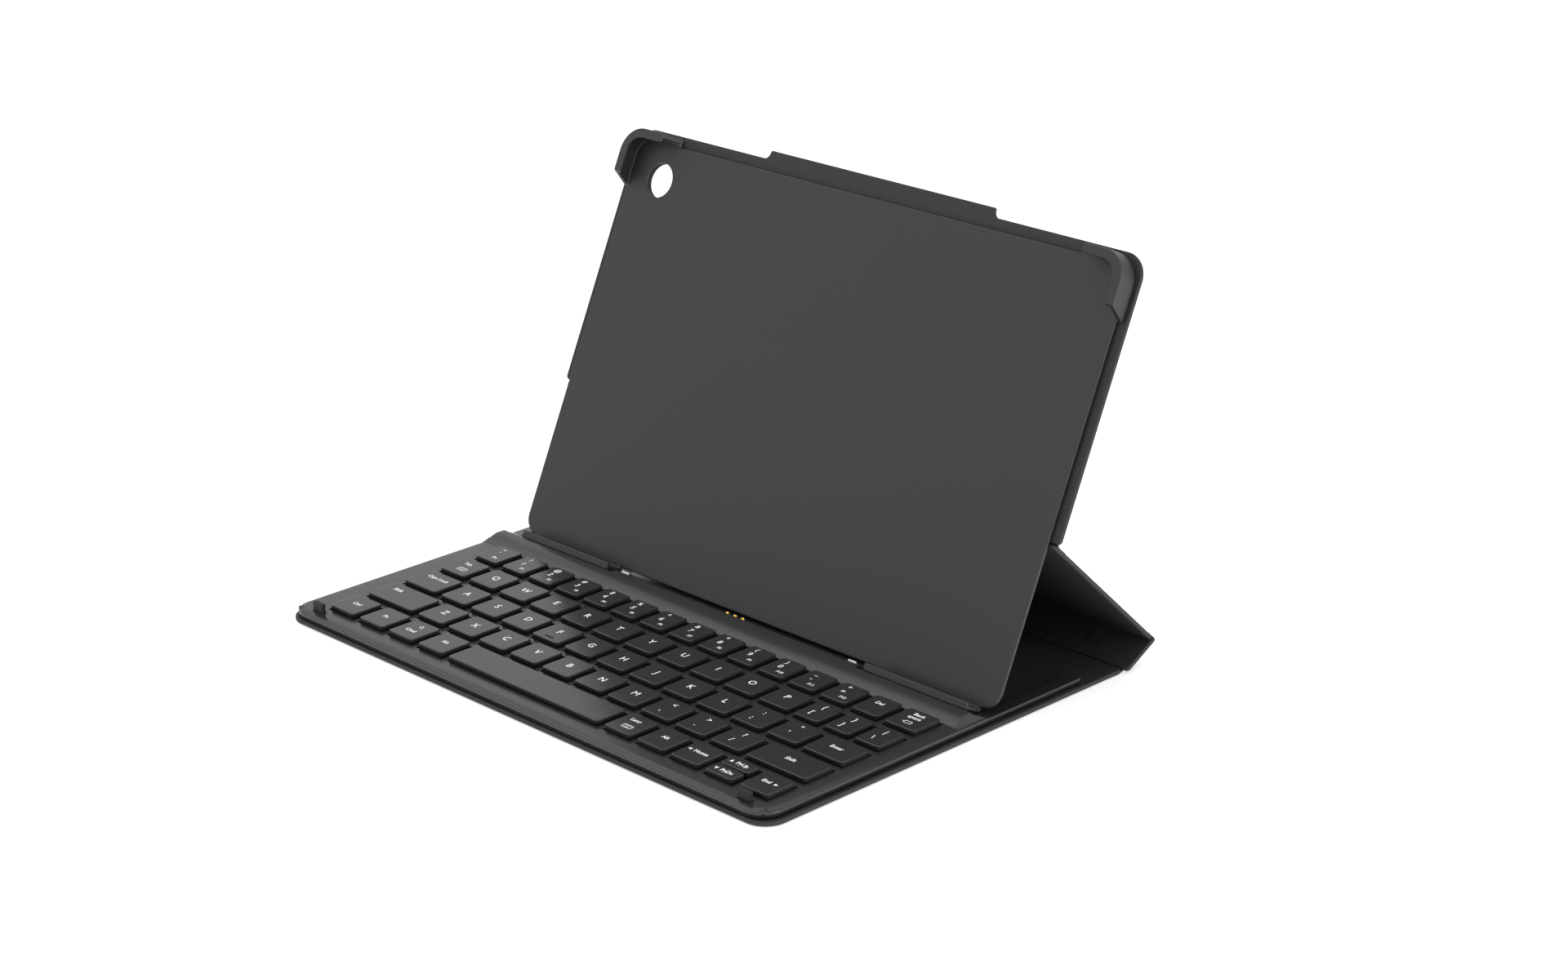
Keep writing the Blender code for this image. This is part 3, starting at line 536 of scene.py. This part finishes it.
def cap_tree(material):
    """A cap's width, depth, height, corner and edge in, its finished mesh out."""
    tree = bpy.data.node_groups.new("key_cap", "GeometryNodeTree")
    tree.is_modifier = True
    for label in CAP_SIZES:
        tree.interface.new_socket(label, in_out="INPUT", socket_type="NodeSocketFloat")
    tree.interface.new_socket("Geometry", in_out="OUTPUT", socket_type="NodeSocketGeometry")
    size = add_node(tree, "NodeGroupInput").outputs
    outline = rounded_rectangle(tree, size["Width"], size["Depth"], size["Corner"])

    # Each length is one of the sizes times a factor, with another size added to it.
    lengths = {}
    for label, source, factor, added in (("top", "Height", -1.0, None),
                                         ("wall_top", "Height", -1.0, "Edge"),
                                         ("rim", "Edge", -1.0, None),
                                         ("face_width", "Edge", -2.0, "Width"),
                                         ("face_depth", "Edge", -2.0, "Depth"),
                                         ("face_corner", "Edge", -1.0, "Corner")):
        links = {0: size[source]}
        if added:
            links[2] = size[added]
        sums = add_node(tree, "ShaderNodeMath", {"operation": "MULTIPLY_ADD", 1: factor, 2: 0.0},
                        links)
        lengths[label] = sums.outputs["Value"]

    # A sweep's profile has +X outwards and +Y downwards.
    wall_end = add_node(tree, "ShaderNodeCombineXYZ", {}, {"Y": lengths["wall_top"]})
    corner = add_node(tree, "ShaderNodeCombineXYZ", {}, {"Y": lengths["top"]})
    rim = add_node(tree, "ShaderNodeCombineXYZ", {}, {"X": lengths["rim"], "Y": lengths["top"]})
    wall = add_node(tree, "GeometryNodeCurvePrimitiveLine", {},
                    {"End": wall_end.outputs["Vector"]})
    rounding = add_node(tree, "GeometryNodeCurveQuadraticBezier", {"Resolution": CAP_EDGE_STEPS},
                        {"Start": wall_end.outputs["Vector"],
                         "Middle": corner.outputs["Vector"], "End": rim.outputs["Vector"]})
    profile = add_node(tree, "GeometryNodeJoinGeometry")
    for part in (rounding, wall):
        tree.links.new(part.outputs["Curve"], profile.inputs["Geometry"])
    sides = add_node(tree, "GeometryNodeCurveToMesh", {},
                     {"Curve": outline, "Profile Curve": profile.outputs["Geometry"]})

    top_outline = rounded_rectangle(tree, lengths["face_width"], lengths["face_depth"],
                                    lengths["face_corner"])
    top_face = add_node(tree, "GeometryNodeFillCurve", {"mode": "NGONS"}, {"Curve": top_outline})
    lift = add_node(tree, "ShaderNodeCombineXYZ", {}, {"Z": size["Height"]})
    raised = add_node(tree, "GeometryNodeTransform", {},
                      {"Geometry": top_face.outputs["Mesh"], "Translation": lift.outputs["Vector"]})
    floor_face = add_node(tree, "GeometryNodeFillCurve", {"mode": "NGONS"}, {"Curve": outline})
    turned = add_node(tree, "GeometryNodeFlipFaces", {}, {"Mesh": floor_face.outputs["Mesh"]})

    flats = add_node(tree, "GeometryNodeJoinGeometry")
    for part in (raised.outputs["Geometry"], turned.outputs["Mesh"]):
        tree.links.new(part, flats.inputs["Geometry"])
    flat = add_node(tree, "GeometryNodeSetShadeSmooth", {"Shade Smooth": False},
                    {"Geometry": flats.outputs["Geometry"]})
    smooth = add_node(tree, "GeometryNodeSetShadeSmooth", {}, {"Geometry": sides.outputs["Mesh"]})
    whole = add_node(tree, "GeometryNodeJoinGeometry")
    for part in (flat, smooth):
        tree.links.new(part.outputs["Geometry"], whole.inputs["Geometry"])
    welded = add_node(tree, "GeometryNodeMergeByDistance", {"Distance": CAP_WELD},
                      {"Geometry": whole.outputs["Geometry"]})
    real = add_node(tree, "GeometryNodeRealizeInstances", {},
                    {"Geometry": welded.outputs["Geometry"]})
    finished = add_node(tree, "GeometryNodeSetMaterial", {"Material": material},
                        {"Geometry": real.outputs["Geometry"]})
    add_node(tree, "NodeGroupOutput", {}, {"Geometry": finished.outputs["Geometry"]})
    return tree


def cap_boxes(node):
    """Each cap of a node, as its lowest and highest corner, from the left and from the front."""
    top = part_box(node)[1].z
    boxes = []
    bm = merged_copy(node)
    for face in bm.faces:
        if face.normal.z > FACING_UP and face.calc_center_median().z > top - CAP_CHAMFER / 2.0:
            xs = [vert.co.x for vert in face.verts]
            ys = [vert.co.y for vert in face.verts]
            boxes.append((min(xs) - CAP_CHAMFER, min(ys) - CAP_CHAMFER,
                          max(xs) + CAP_CHAMFER, max(ys) + CAP_CHAMFER))
    bm.free()
    return sorted(boxes)


def make_cap(tree, box, bottom, top):
    """One cap's mesh, in place."""
    x_low, y_low, x_high, y_high = box
    sizes = (x_high - x_low, y_high - y_low, top - bottom, CAP_CORNER, CAP_EDGE)
    maker = bpy.data.objects.new("cap_maker", bpy.data.meshes.new("cap_maker"))
    bpy.context.scene.collection.objects.link(maker)
    modifier = maker.modifiers.new("key_cap", "NODES")
    modifier.node_group = tree
    sockets = {item.name: item for item in tree.interface.items_tree if item.in_out == "INPUT"}
    for label, value in zip(CAP_SIZES, sizes):
        modifier[sockets[label].identifier] = value
    settle(maker, Matrix.Translation(((x_low + x_high) / 2.0, (y_low + y_high) / 2.0, bottom)))
    mesh = maker.data
    bpy.data.objects.remove(maker)
    return mesh


def joined(name, meshes, material, shade_material=None):
    """Several meshes in one piece, facing outwards, whose upright faces may take a second, darker material that
    paints shade on them.
    """
    bm = bmesh.new()
    for mesh in meshes:
        bm.from_mesh(mesh)
        bpy.data.meshes.remove(mesh)
    bmesh.ops.recalc_face_normals(bm, faces=bm.faces)
    for face in bm.faces:
        # Faces steeper than the slope take the second material, which is the painted shade on the caps' sides.
        face.material_index = int(shade_material is not None and face.normal.z < SHADED_SIDE_SLOPE)
    mesh = bpy.data.meshes.new(name)
    bm.to_mesh(mesh)
    bm.free()
    mesh.materials.append(material)
    if shade_material:
        mesh.materials.append(shade_material)
    piece = bpy.data.objects.new(name, mesh)
    bpy.context.scene.collection.objects.link(piece)
    return piece


KEY_TREE = cap_tree(CAP_ABS)
KEY_NODES = sorted(node for node in frame["nodes"]
                   if node.startswith("keys_") or node.startswith("key_") and node != "key_plate")
CAPS = {node: cap_boxes(node) for node in KEY_NODES}
CAP_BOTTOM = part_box("key_space")[0].z
CAP_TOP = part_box("key_space")[1].z

for node in KEY_NODES:
    caps = [make_cap(KEY_TREE, box, CAP_BOTTOM, CAP_TOP) for box in CAPS[node]]
    put_in_place(joined(node + "_caps", caps, CAP_ABS, CAP_SIDE_SHADE), node, "cap_plastic", node)


# ---------------------------------------------------------------------------------------------
# Key printing: white pad-printed ink, a little proud of the caps.  Every mark is a letter, a
# sign or a small icon, placed from its own cap's centre.
# ---------------------------------------------------------------------------------------------
INK_THICKNESS = 0.03 * MM
INK_SPREAD = 0.045 * MM
LETTER_SIZE = 4.1 * MM
DIGIT_SIZE = 3.5 * MM
WORD_SIZE = 2.6 * MM
SMALL_SIZE = 2.0 * MM
STROKE = 0.26 * MM
MIDDLE = (0.0, 0.6 * MM)
DIGIT_AT = (-1.2 * MM, 0.2 * MM)
SIGN_AT = (-1.6 * MM, 4.3 * MM)
LABEL_AT = (2.2 * MM, -3.6 * MM)
FRONT_SIGN_AT = (-1.2 * MM, -2.2 * MM)
REAR_SIGN_AT = (-0.2 * MM, 3.2 * MM)
SIGN_SHARE = 0.9
ARROW_SIZE = 1.0 * MM
ARROW_TURNS = (0.0, 130.0, 230.0)
RING_STEPS = 12


def ink(name, colour):
    """Matte printing ink, with a slight unevenness from the pad."""
    material, tree, shader = new_material(name, ior=1.5)
    drifting_finish(tree, shader, colour, "#ffffff", 0.45, 0.6, 3.0 * MM)
    return material


INK = ink("white_pad_ink", "#efefef")


def text_mark(text, size, x=0.0, y=0.0, align="CENTER"):
    """Letters as flat solid shapes, centred on a point of the cap."""
    curve = bpy.data.curves.new("mark", "FONT")
    curve.body = text
    curve.size = size
    curve.align_x = align
    curve.align_y = "CENTER"
    curve.resolution_u = 3
    curve.extrude = INK_THICKNESS / 2.0
    curve.offset = INK_SPREAD
    maker = bpy.data.objects.new("mark", curve)
    bpy.context.scene.collection.objects.link(maker)
    depsgraph = bpy.context.evaluated_depsgraph_get()
    mesh = bpy.data.meshes.new_from_object(maker.evaluated_get(depsgraph), depsgraph=depsgraph)
    bpy.data.objects.remove(maker)
    bpy.data.curves.remove(curve)
    mesh.transform(Matrix.Translation((x, y, 0.0)))
    return [mesh]


def shape_mark(outline):
    """A filled outline as a flat solid shape."""
    bm = prism_mesh(outline, -INK_THICKNESS / 2.0, INK_THICKNESS / 2.0)
    mesh = bpy.data.meshes.new("mark")
    bm.to_mesh(mesh)
    bm.free()
    return [mesh]


def bar_mark(start, end, width=STROKE):
    """A straight stroke between two points."""
    a = Vector(start)
    b = Vector(end)
    across = (b - a).normalized().orthogonal() * width / 2.0
    return shape_mark([tuple(a + across), tuple(a - across), tuple(b - across), tuple(b + across)])


def frame_mark(x, y, width, height):
    """An open rectangle of four strokes."""
    corners = [(x - width / 2.0, y - height / 2.0), (x + width / 2.0, y - height / 2.0),
               (x + width / 2.0, y + height / 2.0), (x - width / 2.0, y + height / 2.0)]
    marks = []
    for index, corner in enumerate(corners):
        marks += bar_mark(corner, corners[(index + 1) % 4])
    return marks


def arrow_mark(x, y, angle, size=ARROW_SIZE):
    """A small solid triangle that points along an angle in degrees."""
    turns = [math.radians(angle + step) for step in ARROW_TURNS]
    return shape_mark([(x + size * math.cos(a), y + size * math.sin(a)) for a in turns])


def ring_mark(x, y, radius):
    """A ring drawn as short strokes."""
    points = arc((x, y), radius, 0, 360, RING_STEPS)
    marks = []
    for a, b in zip(points, points[1:]):
        marks += bar_mark(a, b)
    return marks


def letter(text):
    """One capital letter, a little behind the cap's middle."""
    return lambda: text_mark(text, LETTER_SIZE, *MIDDLE)


def word(text, x=MIDDLE[0], y=MIDDLE[1]):
    """A word, at the cap's middle unless it is given a place."""
    return lambda: text_mark(text, WORD_SIZE, x, y)


def arrow_word(text, x, arrow_x, y, angle):
    """A word with a small arrow beside it."""
    return lambda: arrow_mark(arrow_x, y, angle) + text_mark(text, WORD_SIZE, x, y)


def number(digit, sign, label):
    """A number key: its digit, its shifted sign behind, and a small function label in front."""
    return lambda: (text_mark(digit, DIGIT_SIZE, *DIGIT_AT)
                    + text_mark(sign, DIGIT_SIZE * SIGN_SHARE, *SIGN_AT)
                    + text_mark(label, SMALL_SIZE, *LABEL_AT))


def signs(front, rear):
    """A punctuation key: one sign in front and its shifted sign behind."""
    return lambda: (text_mark(front, DIGIT_SIZE, *FRONT_SIGN_AT)
                    + text_mark(rear, DIGIT_SIZE, *REAR_SIGN_AT))


def keyboard_icon(x, y):
    """A small keyboard: a frame with a row of dots and a space bar inside."""
    marks = frame_mark(x, y, 4.2 * MM, 2.2 * MM)
    marks += bar_mark((x - 1.0 * MM, y - 0.45 * MM), (x + 1.0 * MM, y - 0.45 * MM))
    for column in (-1.3, -0.45, 0.45, 1.3):
        marks += bar_mark((x + (column - 0.2) * MM, y + 0.4 * MM),
                          (x + (column + 0.2) * MM, y + 0.4 * MM), 0.4 * MM)
    return marks


def search_icon(x, y):
    """A magnifying glass: a ring with a short handle."""
    return (ring_mark(x, y, 0.75 * MM)
            + bar_mark((x + 0.5 * MM, y - 0.5 * MM), (x + 1.15 * MM, y - 1.15 * MM)))


def tab_key():
    return text_mark("Tab", WORD_SIZE, -1.2 * MM, 2.6 * MM) + keyboard_icon(0.8 * MM, -2.2 * MM)


def search_key():
    return search_icon(0.4 * MM, 3.2 * MM) + text_mark("Cmd", WORD_SIZE, -0.4 * MM, -1.2 * MM)


def language_key():
    return text_mark("Lang", WORD_SIZE, -0.6 * MM, 2.8 * MM) + keyboard_icon(0.6 * MM, -2.4 * MM)


def backspace_key():
    return (text_mark("Back", WORD_SIZE, 0.0, 3.8 * MM)
            + text_mark("space", WORD_SIZE, 0.0, 1.3 * MM)
            + frame_mark(0.6 * MM, -2.8 * MM, 3.0 * MM, 1.6 * MM)
            + bar_mark((-1.9 * MM, -2.8 * MM), (-0.9 * MM, -2.8 * MM)))


def escape_key():
    return (text_mark("Esc", SMALL_SIZE, 1.4 * MM, -3.2 * MM)
            + text_mark("`", DIGIT_SIZE, -1.2 * MM, 0.8 * MM)
            + text_mark("~", DIGIT_SIZE, -1.4 * MM, 4.4 * MM))


PRINTING = {
    "keys_esc_1": (escape_key, number("1", "!", "F1")),
    "keys_2_3": (number("2", "@", "F2"), number("3", "#", "F3")),
    "keys_4_5": (number("4", "$", "F4"), number("5", "%", "F5")),
    "keys_6_7": (number("6", "^", "F6"), number("7", "&", "F7")),
    "keys_8_9": (number("8", "*", "F8"), number("9", "(", "F9")),
    "keys_0_minus": (number("0", ")", "F10"), number("-", "_", "F11")),
    "keys_equals_delete": (number("=", "+", "F12"), word("Del", -0.4 * MM, 1.8 * MM)),
    "key_backspace": (backspace_key,),
    "keys_tab_q": (tab_key, letter("Q")),
    "keys_p_bracket_left": (letter("P"), signs("[", "{")),
    "keys_bracket_right_backslash": (signs("]", "}"), signs("\\", "|")),
    "keys_caps_a": (word("Caps Lock", 0.0, 2.4 * MM), letter("A")),
    "keys_semicolon_quote": (signs(";", ":"), signs("'", "\"")),
    "key_enter": (word("Enter", 0.0, 0.4 * MM),),
    "keys_shift_z": (word("Shift", -6.0 * MM, 2.4 * MM), letter("Z")),
    "keys_comma_period": (signs(",", "<"), signs(".", ">")),
    "keys_slash_shift_right": (signs("/", "?"), word("Shift", 0.0, 0.6 * MM)),
    "keys_ctrl_fn": (word("Ctrl"), word("Fn")),
    "keys_search_alt": (search_key, word("Alt")),
    "key_space": (lambda: [],),
    "keys_language_alt_right": (language_key, word("Alt")),
    "key_left": (arrow_word("Home", 0.9 * MM, -4.4 * MM, 0.6 * MM, 180),),
    "keys_down_up": (arrow_word("PgDn", 1.0 * MM, -3.9 * MM, 0.0, 270),
                     arrow_word("PgUp", 1.0 * MM, -3.9 * MM, 0.0, 90)),
    "key_right": (arrow_word("End", -1.0 * MM, 3.2 * MM, 0.6 * MM, 0),),
}


def printing_for(node):
    """The marks of each cap, where a plain pair of letters takes its letters from its name."""
    if node in PRINTING:
        return PRINTING[node]
    return tuple(letter(part.upper()) for part in node.split("_")[1:])


for node in KEY_NODES:
    marks = []
    for box, draw in zip(CAPS[node], printing_for(node)):
        centre = Vector(((box[0] + box[2]) / 2.0, (box[1] + box[3]) / 2.0, CAP_TOP))
        for mark in draw():
            mark.transform(Matrix.Translation(centre))
            marks.append(mark)
    if marks:
        printed = joined(node + "_printing", marks, INK)
        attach(printed, node)


# ---------------------------------------------------------------------------------------------
# Home bars: the small raised bars that the fingertips find on the two home keys.  They are
# moulded on the caps, near the front edge.
# ---------------------------------------------------------------------------------------------
HOME_BAR = (3.6 * MM, 0.7 * MM, 0.35 * MM)
HOME_BAR_FORWARD = 4.4 * MM

for node, index in (("keys_f_g", 0), ("keys_h_j", 1)):
    box = CAPS[node][index]
    x = (box[0] + box[2]) / 2.0
    y = (box[1] + box[3]) / 2.0 - HOME_BAR_FORWARD
    length, depth, height = HOME_BAR
    outline = (arc((x + length / 2.0, y), depth / 2.0, -90, 90, 8)
               + arc((x - length / 2.0, y), depth / 2.0, 90, 270, 8))
    bar = mesh_piece(node + "_home_bar", prism_mesh(outline, CAP_TOP - height, CAP_TOP + height),
                     CAP_ABS)
    soften(bar, height / 2.0, 3)
    settle(bar)
    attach(bar, node)


# ---------------------------------------------------------------------------------------------
# Bumpers: two upright silicone fins at the front corners, pushed up through slots in the deck.
# They keep the closed tablet off the keys.
# ---------------------------------------------------------------------------------------------
BUMPER_EDGE = 0.30 * MM


def silicone(name, dark, light):
    """Moulded silicone rubber: matte and a little dusty, with no grain of its own."""
    material, tree, shader = new_material(name, ior=1.41)
    place = drifting_finish(tree, shader, dark, light, 0.5, 0.7, 6.0 * MM)
    dust = add_node(tree, "ShaderNodeTexNoise", {"Scale": 2.0 / MM, "Detail": 3.0},
                    {"Vector": place})
    bump = add_node(tree, "ShaderNodeBump", {"Strength": 0.3, "Distance": 0.02 * MM},
                    {"Height": dust.outputs["Fac"]})
    tree.links.new(bump.outputs["Normal"], shader.inputs["Normal"])
    return material


RUBBER = silicone("moulded_silicone", "#131313", "#1c1c1c")

for side in ("left", "right"):
    moulding("bumper_" + side, "bumper_fin_" + side, "base", "rubber", RUBBER, BUMPER_EDGE, 4, 40.0)


# ---------------------------------------------------------------------------------------------
# Dock contacts: three gold-plated sprung pins in a black block, and a steel locating tab to
# each side.  They stand square to the slope, in the tray's own direction.
# ---------------------------------------------------------------------------------------------
PIN_SIDES = 32
PIN_DOME = 0.4 * MM
SHANK_RADIUS = 0.75 * MM
FLANGE_RADIUS = 1.25 * MM
FLANGE_THICKNESS = 0.5 * MM
FLANGE_BELOW_TIP = 2.5 * MM
TAB_EDGE = 0.22 * MM


def plated_gold(name):
    """Gold plate over turned brass, polished, with faint turning marks."""
    material, tree, shader = new_material(name, metallic=1.0)
    place = drifting_finish(tree, shader, "#d9a441", "#f0c265", 0.14, 0.24, 2.0 * MM)
    marks = add_node(tree, "ShaderNodeTexNoise", {"Scale": 5.0 / MM, "Detail": 2.0},
                     {"Vector": place})
    bump = add_node(tree, "ShaderNodeBump", {"Strength": 0.15, "Distance": 0.01 * MM},
                    {"Height": marks.outputs["Fac"]})
    tree.links.new(bump.outputs["Normal"], shader.inputs["Normal"])
    return material


GOLD = plated_gold("gold_plated_brass")
STEEL = brushed_metal("stamped_stainless_steel", "#c4c4c6", "#dadadc", 0.24, 0.36, 3.0)
UP_TRAY = LID.to_3x3() @ Vector((0.0, 1.0, 0.0))
PIN_TURN = UP_TRAY.to_track_quat("Z", "Y").to_matrix().to_4x4()


def turned_pin(node):
    """A pin turned on a lathe: a shank, a flange and a domed tip, spun about its own axis."""
    mesh = frame["nodes"][node].data
    heights = [vertex.co.dot(UP_TRAY) for vertex in mesh.vertices]
    centre = sum((vertex.co for vertex in mesh.vertices), Vector()) / len(mesh.vertices)
    foot = centre + UP_TRAY * (min(heights) - centre.dot(UP_TRAY))
    length = max(heights) - min(heights)
    flange_low = length - FLANGE_BELOW_TIP
    flange_high = flange_low + FLANGE_THICKNESS
    profile = [(0.0, 0.0), (SHANK_RADIUS, 0.0), (SHANK_RADIUS, flange_low),
               (FLANGE_RADIUS, flange_low), (FLANGE_RADIUS, flange_high),
               (SHANK_RADIUS, flange_high), (SHANK_RADIUS, length - PIN_DOME)]
    profile += arc((SHANK_RADIUS - PIN_DOME, length - PIN_DOME), PIN_DOME, 0, 90, 5)
    profile.append((0.0, length))
    bm = bmesh.new()
    verts = [bm.verts.new((radius, 0.0, height)) for radius, height in profile]
    edges = [bm.edges.new(pair) for pair in zip(verts, verts[1:])]
    bmesh.ops.spin(bm, geom=verts + edges, cent=(0.0, 0.0, 0.0), axis=(0.0, 0.0, 1.0),
                   angle=2.0 * math.pi, steps=PIN_SIDES, use_merge=True)
    bmesh.ops.remove_doubles(bm, verts=bm.verts, dist=WELD)
    bmesh.ops.recalc_face_normals(bm, faces=bm.faces)
    pin = mesh_piece(node + "_turned", bm, GOLD)
    pin.data.set_sharp_from_angle(angle=math.radians(40.0))
    pin.data.transform(Matrix.Translation(foot) @ PIN_TURN)
    return put_in_place(pin, node, "gold_contact", node)


for side in ("left", "middle", "right"):
    turned_pin("contact_pin_" + side)
for side in ("left", "right"):
    moulding("locating_tab_" + side, "stamped_tab_" + side, "base", "steel", STEEL, TAB_EDGE, 3, 40.0)
moulding("contact_block", "contact_insulator", "base", "rubber", RUBBER, TAB_EDGE, 2, 40.0)


# ---------------------------------------------------------------------------------------------
# Tablet tray: one thin polycarbonate moulding, glued to the upper board.  Two clips hold the
# tablet's top corners, two lips hold its lower edge, and its face has a fine spark texture.
# ---------------------------------------------------------------------------------------------
TRAY_EDGE = 0.45 * MM


def sparked_polycarbonate(name, dark, light):
    """Polycarbonate from a spark-eroded mould: an even, fine frost with a soft sheen.

    The real frost is about 0.05 mm, and it is drawn as coarse as it needs to show.
    """
    material, tree, shader = new_material(name, ior=1.5)
    place = drifting_finish(tree, shader, dark, light, 0.42, 0.52, 90.0 * MM)
    frost = add_node(tree, "ShaderNodeTexNoise", {"Scale": 1.6 / MM, "Detail": 4.0,
                                                  "Roughness": 0.7}, {"Vector": place})
    bump = add_node(tree, "ShaderNodeBump", {"Strength": 0.22, "Distance": 0.03 * MM},
                    {"Height": frost.outputs["Fac"]})
    tree.links.new(bump.outputs["Normal"], shader.inputs["Normal"])
    return material


TRAY_PC = sparked_polycarbonate("sparked_polycarbonate", "#1f1f1f", "#242423")
moulding("tablet_tray", "tray_moulding", "lid", "tray_plastic", TRAY_PC, TRAY_EDGE, 3, 25.0)


# ---------------------------------------------------------------------------------------------
# Floor, light and camera: a plain pale floor in an even white studio, with one soft panel
# overhead and one at the right.  The camera looks at the keyboard's front right corner.
# ---------------------------------------------------------------------------------------------
FLOOR_SIZE = 14.0
FLOOR_DROP = 0.2 * MM
FLOOR_GLOW = 0.40
STUDIO_LIGHT = 1.0
LIGHT_PANELS = (("overhead_panel", Vector((-0.9, -0.3, 1.7)), 1.6, 6.0),
                ("side_panel", Vector((1.5, 0.25, 0.35)), 0.7, 9.0))
CAMERA_PLACE = Vector((0.8155, -0.7694, 0.4818))
CAMERA_TARGET = Vector((-0.0943, 0.1366, 0.0))
CAMERA_ROLL = math.radians(-0.165)
CAMERA_LENS = 77.2
SENSOR_WIDTH = 36.0


def pale_floor(name):
    """Matt white studio paper, lifted a little so that it stays pale under the case."""
    material, tree, shader = new_material(name, ior=1.4)
    drifting_finish(tree, shader, "#f2f2f2", "#f6f6f6", 0.85, 0.95, 400.0 * MM)
    shader.inputs["Emission Color"].default_value = linear("#ffffff")
    shader.inputs["Emission Strength"].default_value = FLOOR_GLOW
    return material


bm = bmesh.new()
bmesh.ops.create_grid(bm, x_segments=1, y_segments=1, size=FLOOR_SIZE / 2.0)
bmesh.ops.translate(bm, vec=(0.0, 0.0, -FLOOR_DROP), verts=bm.verts)
mesh_piece("studio_floor", bm, pale_floor("studio_paper"))

world = bpy.data.worlds.new("studio")
world.use_nodes = True
background = world.node_tree.nodes["Background"]
background.inputs["Color"].default_value = linear("#ffffff")
background.inputs["Strength"].default_value = STUDIO_LIGHT
bpy.context.scene.world = world

for name, place, size, power in LIGHT_PANELS:
    panel = bpy.data.lights.new(name, "AREA")
    panel.shape = "SQUARE"
    panel.size = size
    panel.energy = power
    panel_object = bpy.data.objects.new(name, panel)
    panel_object.matrix_world = (Matrix.Translation(place)
                                 @ place.to_track_quat("Z", "Y").to_matrix().to_4x4())
    bpy.context.scene.collection.objects.link(panel_object)

lens = bpy.data.cameras.new("camera")
lens.sensor_width = SENSOR_WIDTH
lens.lens = CAMERA_LENS
camera = bpy.data.objects.new("camera", lens)
looking = (CAMERA_TARGET - CAMERA_PLACE).to_track_quat("-Z", "Y").to_matrix().to_4x4()
camera.matrix_world = (Matrix.Translation(CAMERA_PLACE) @ looking
                       @ Matrix.Rotation(CAMERA_ROLL, 4, "Z"))
bpy.context.scene.collection.objects.link(camera)
bpy.context.scene.camera = camera
bpy.context.scene.view_settings.view_transform = "Standard"
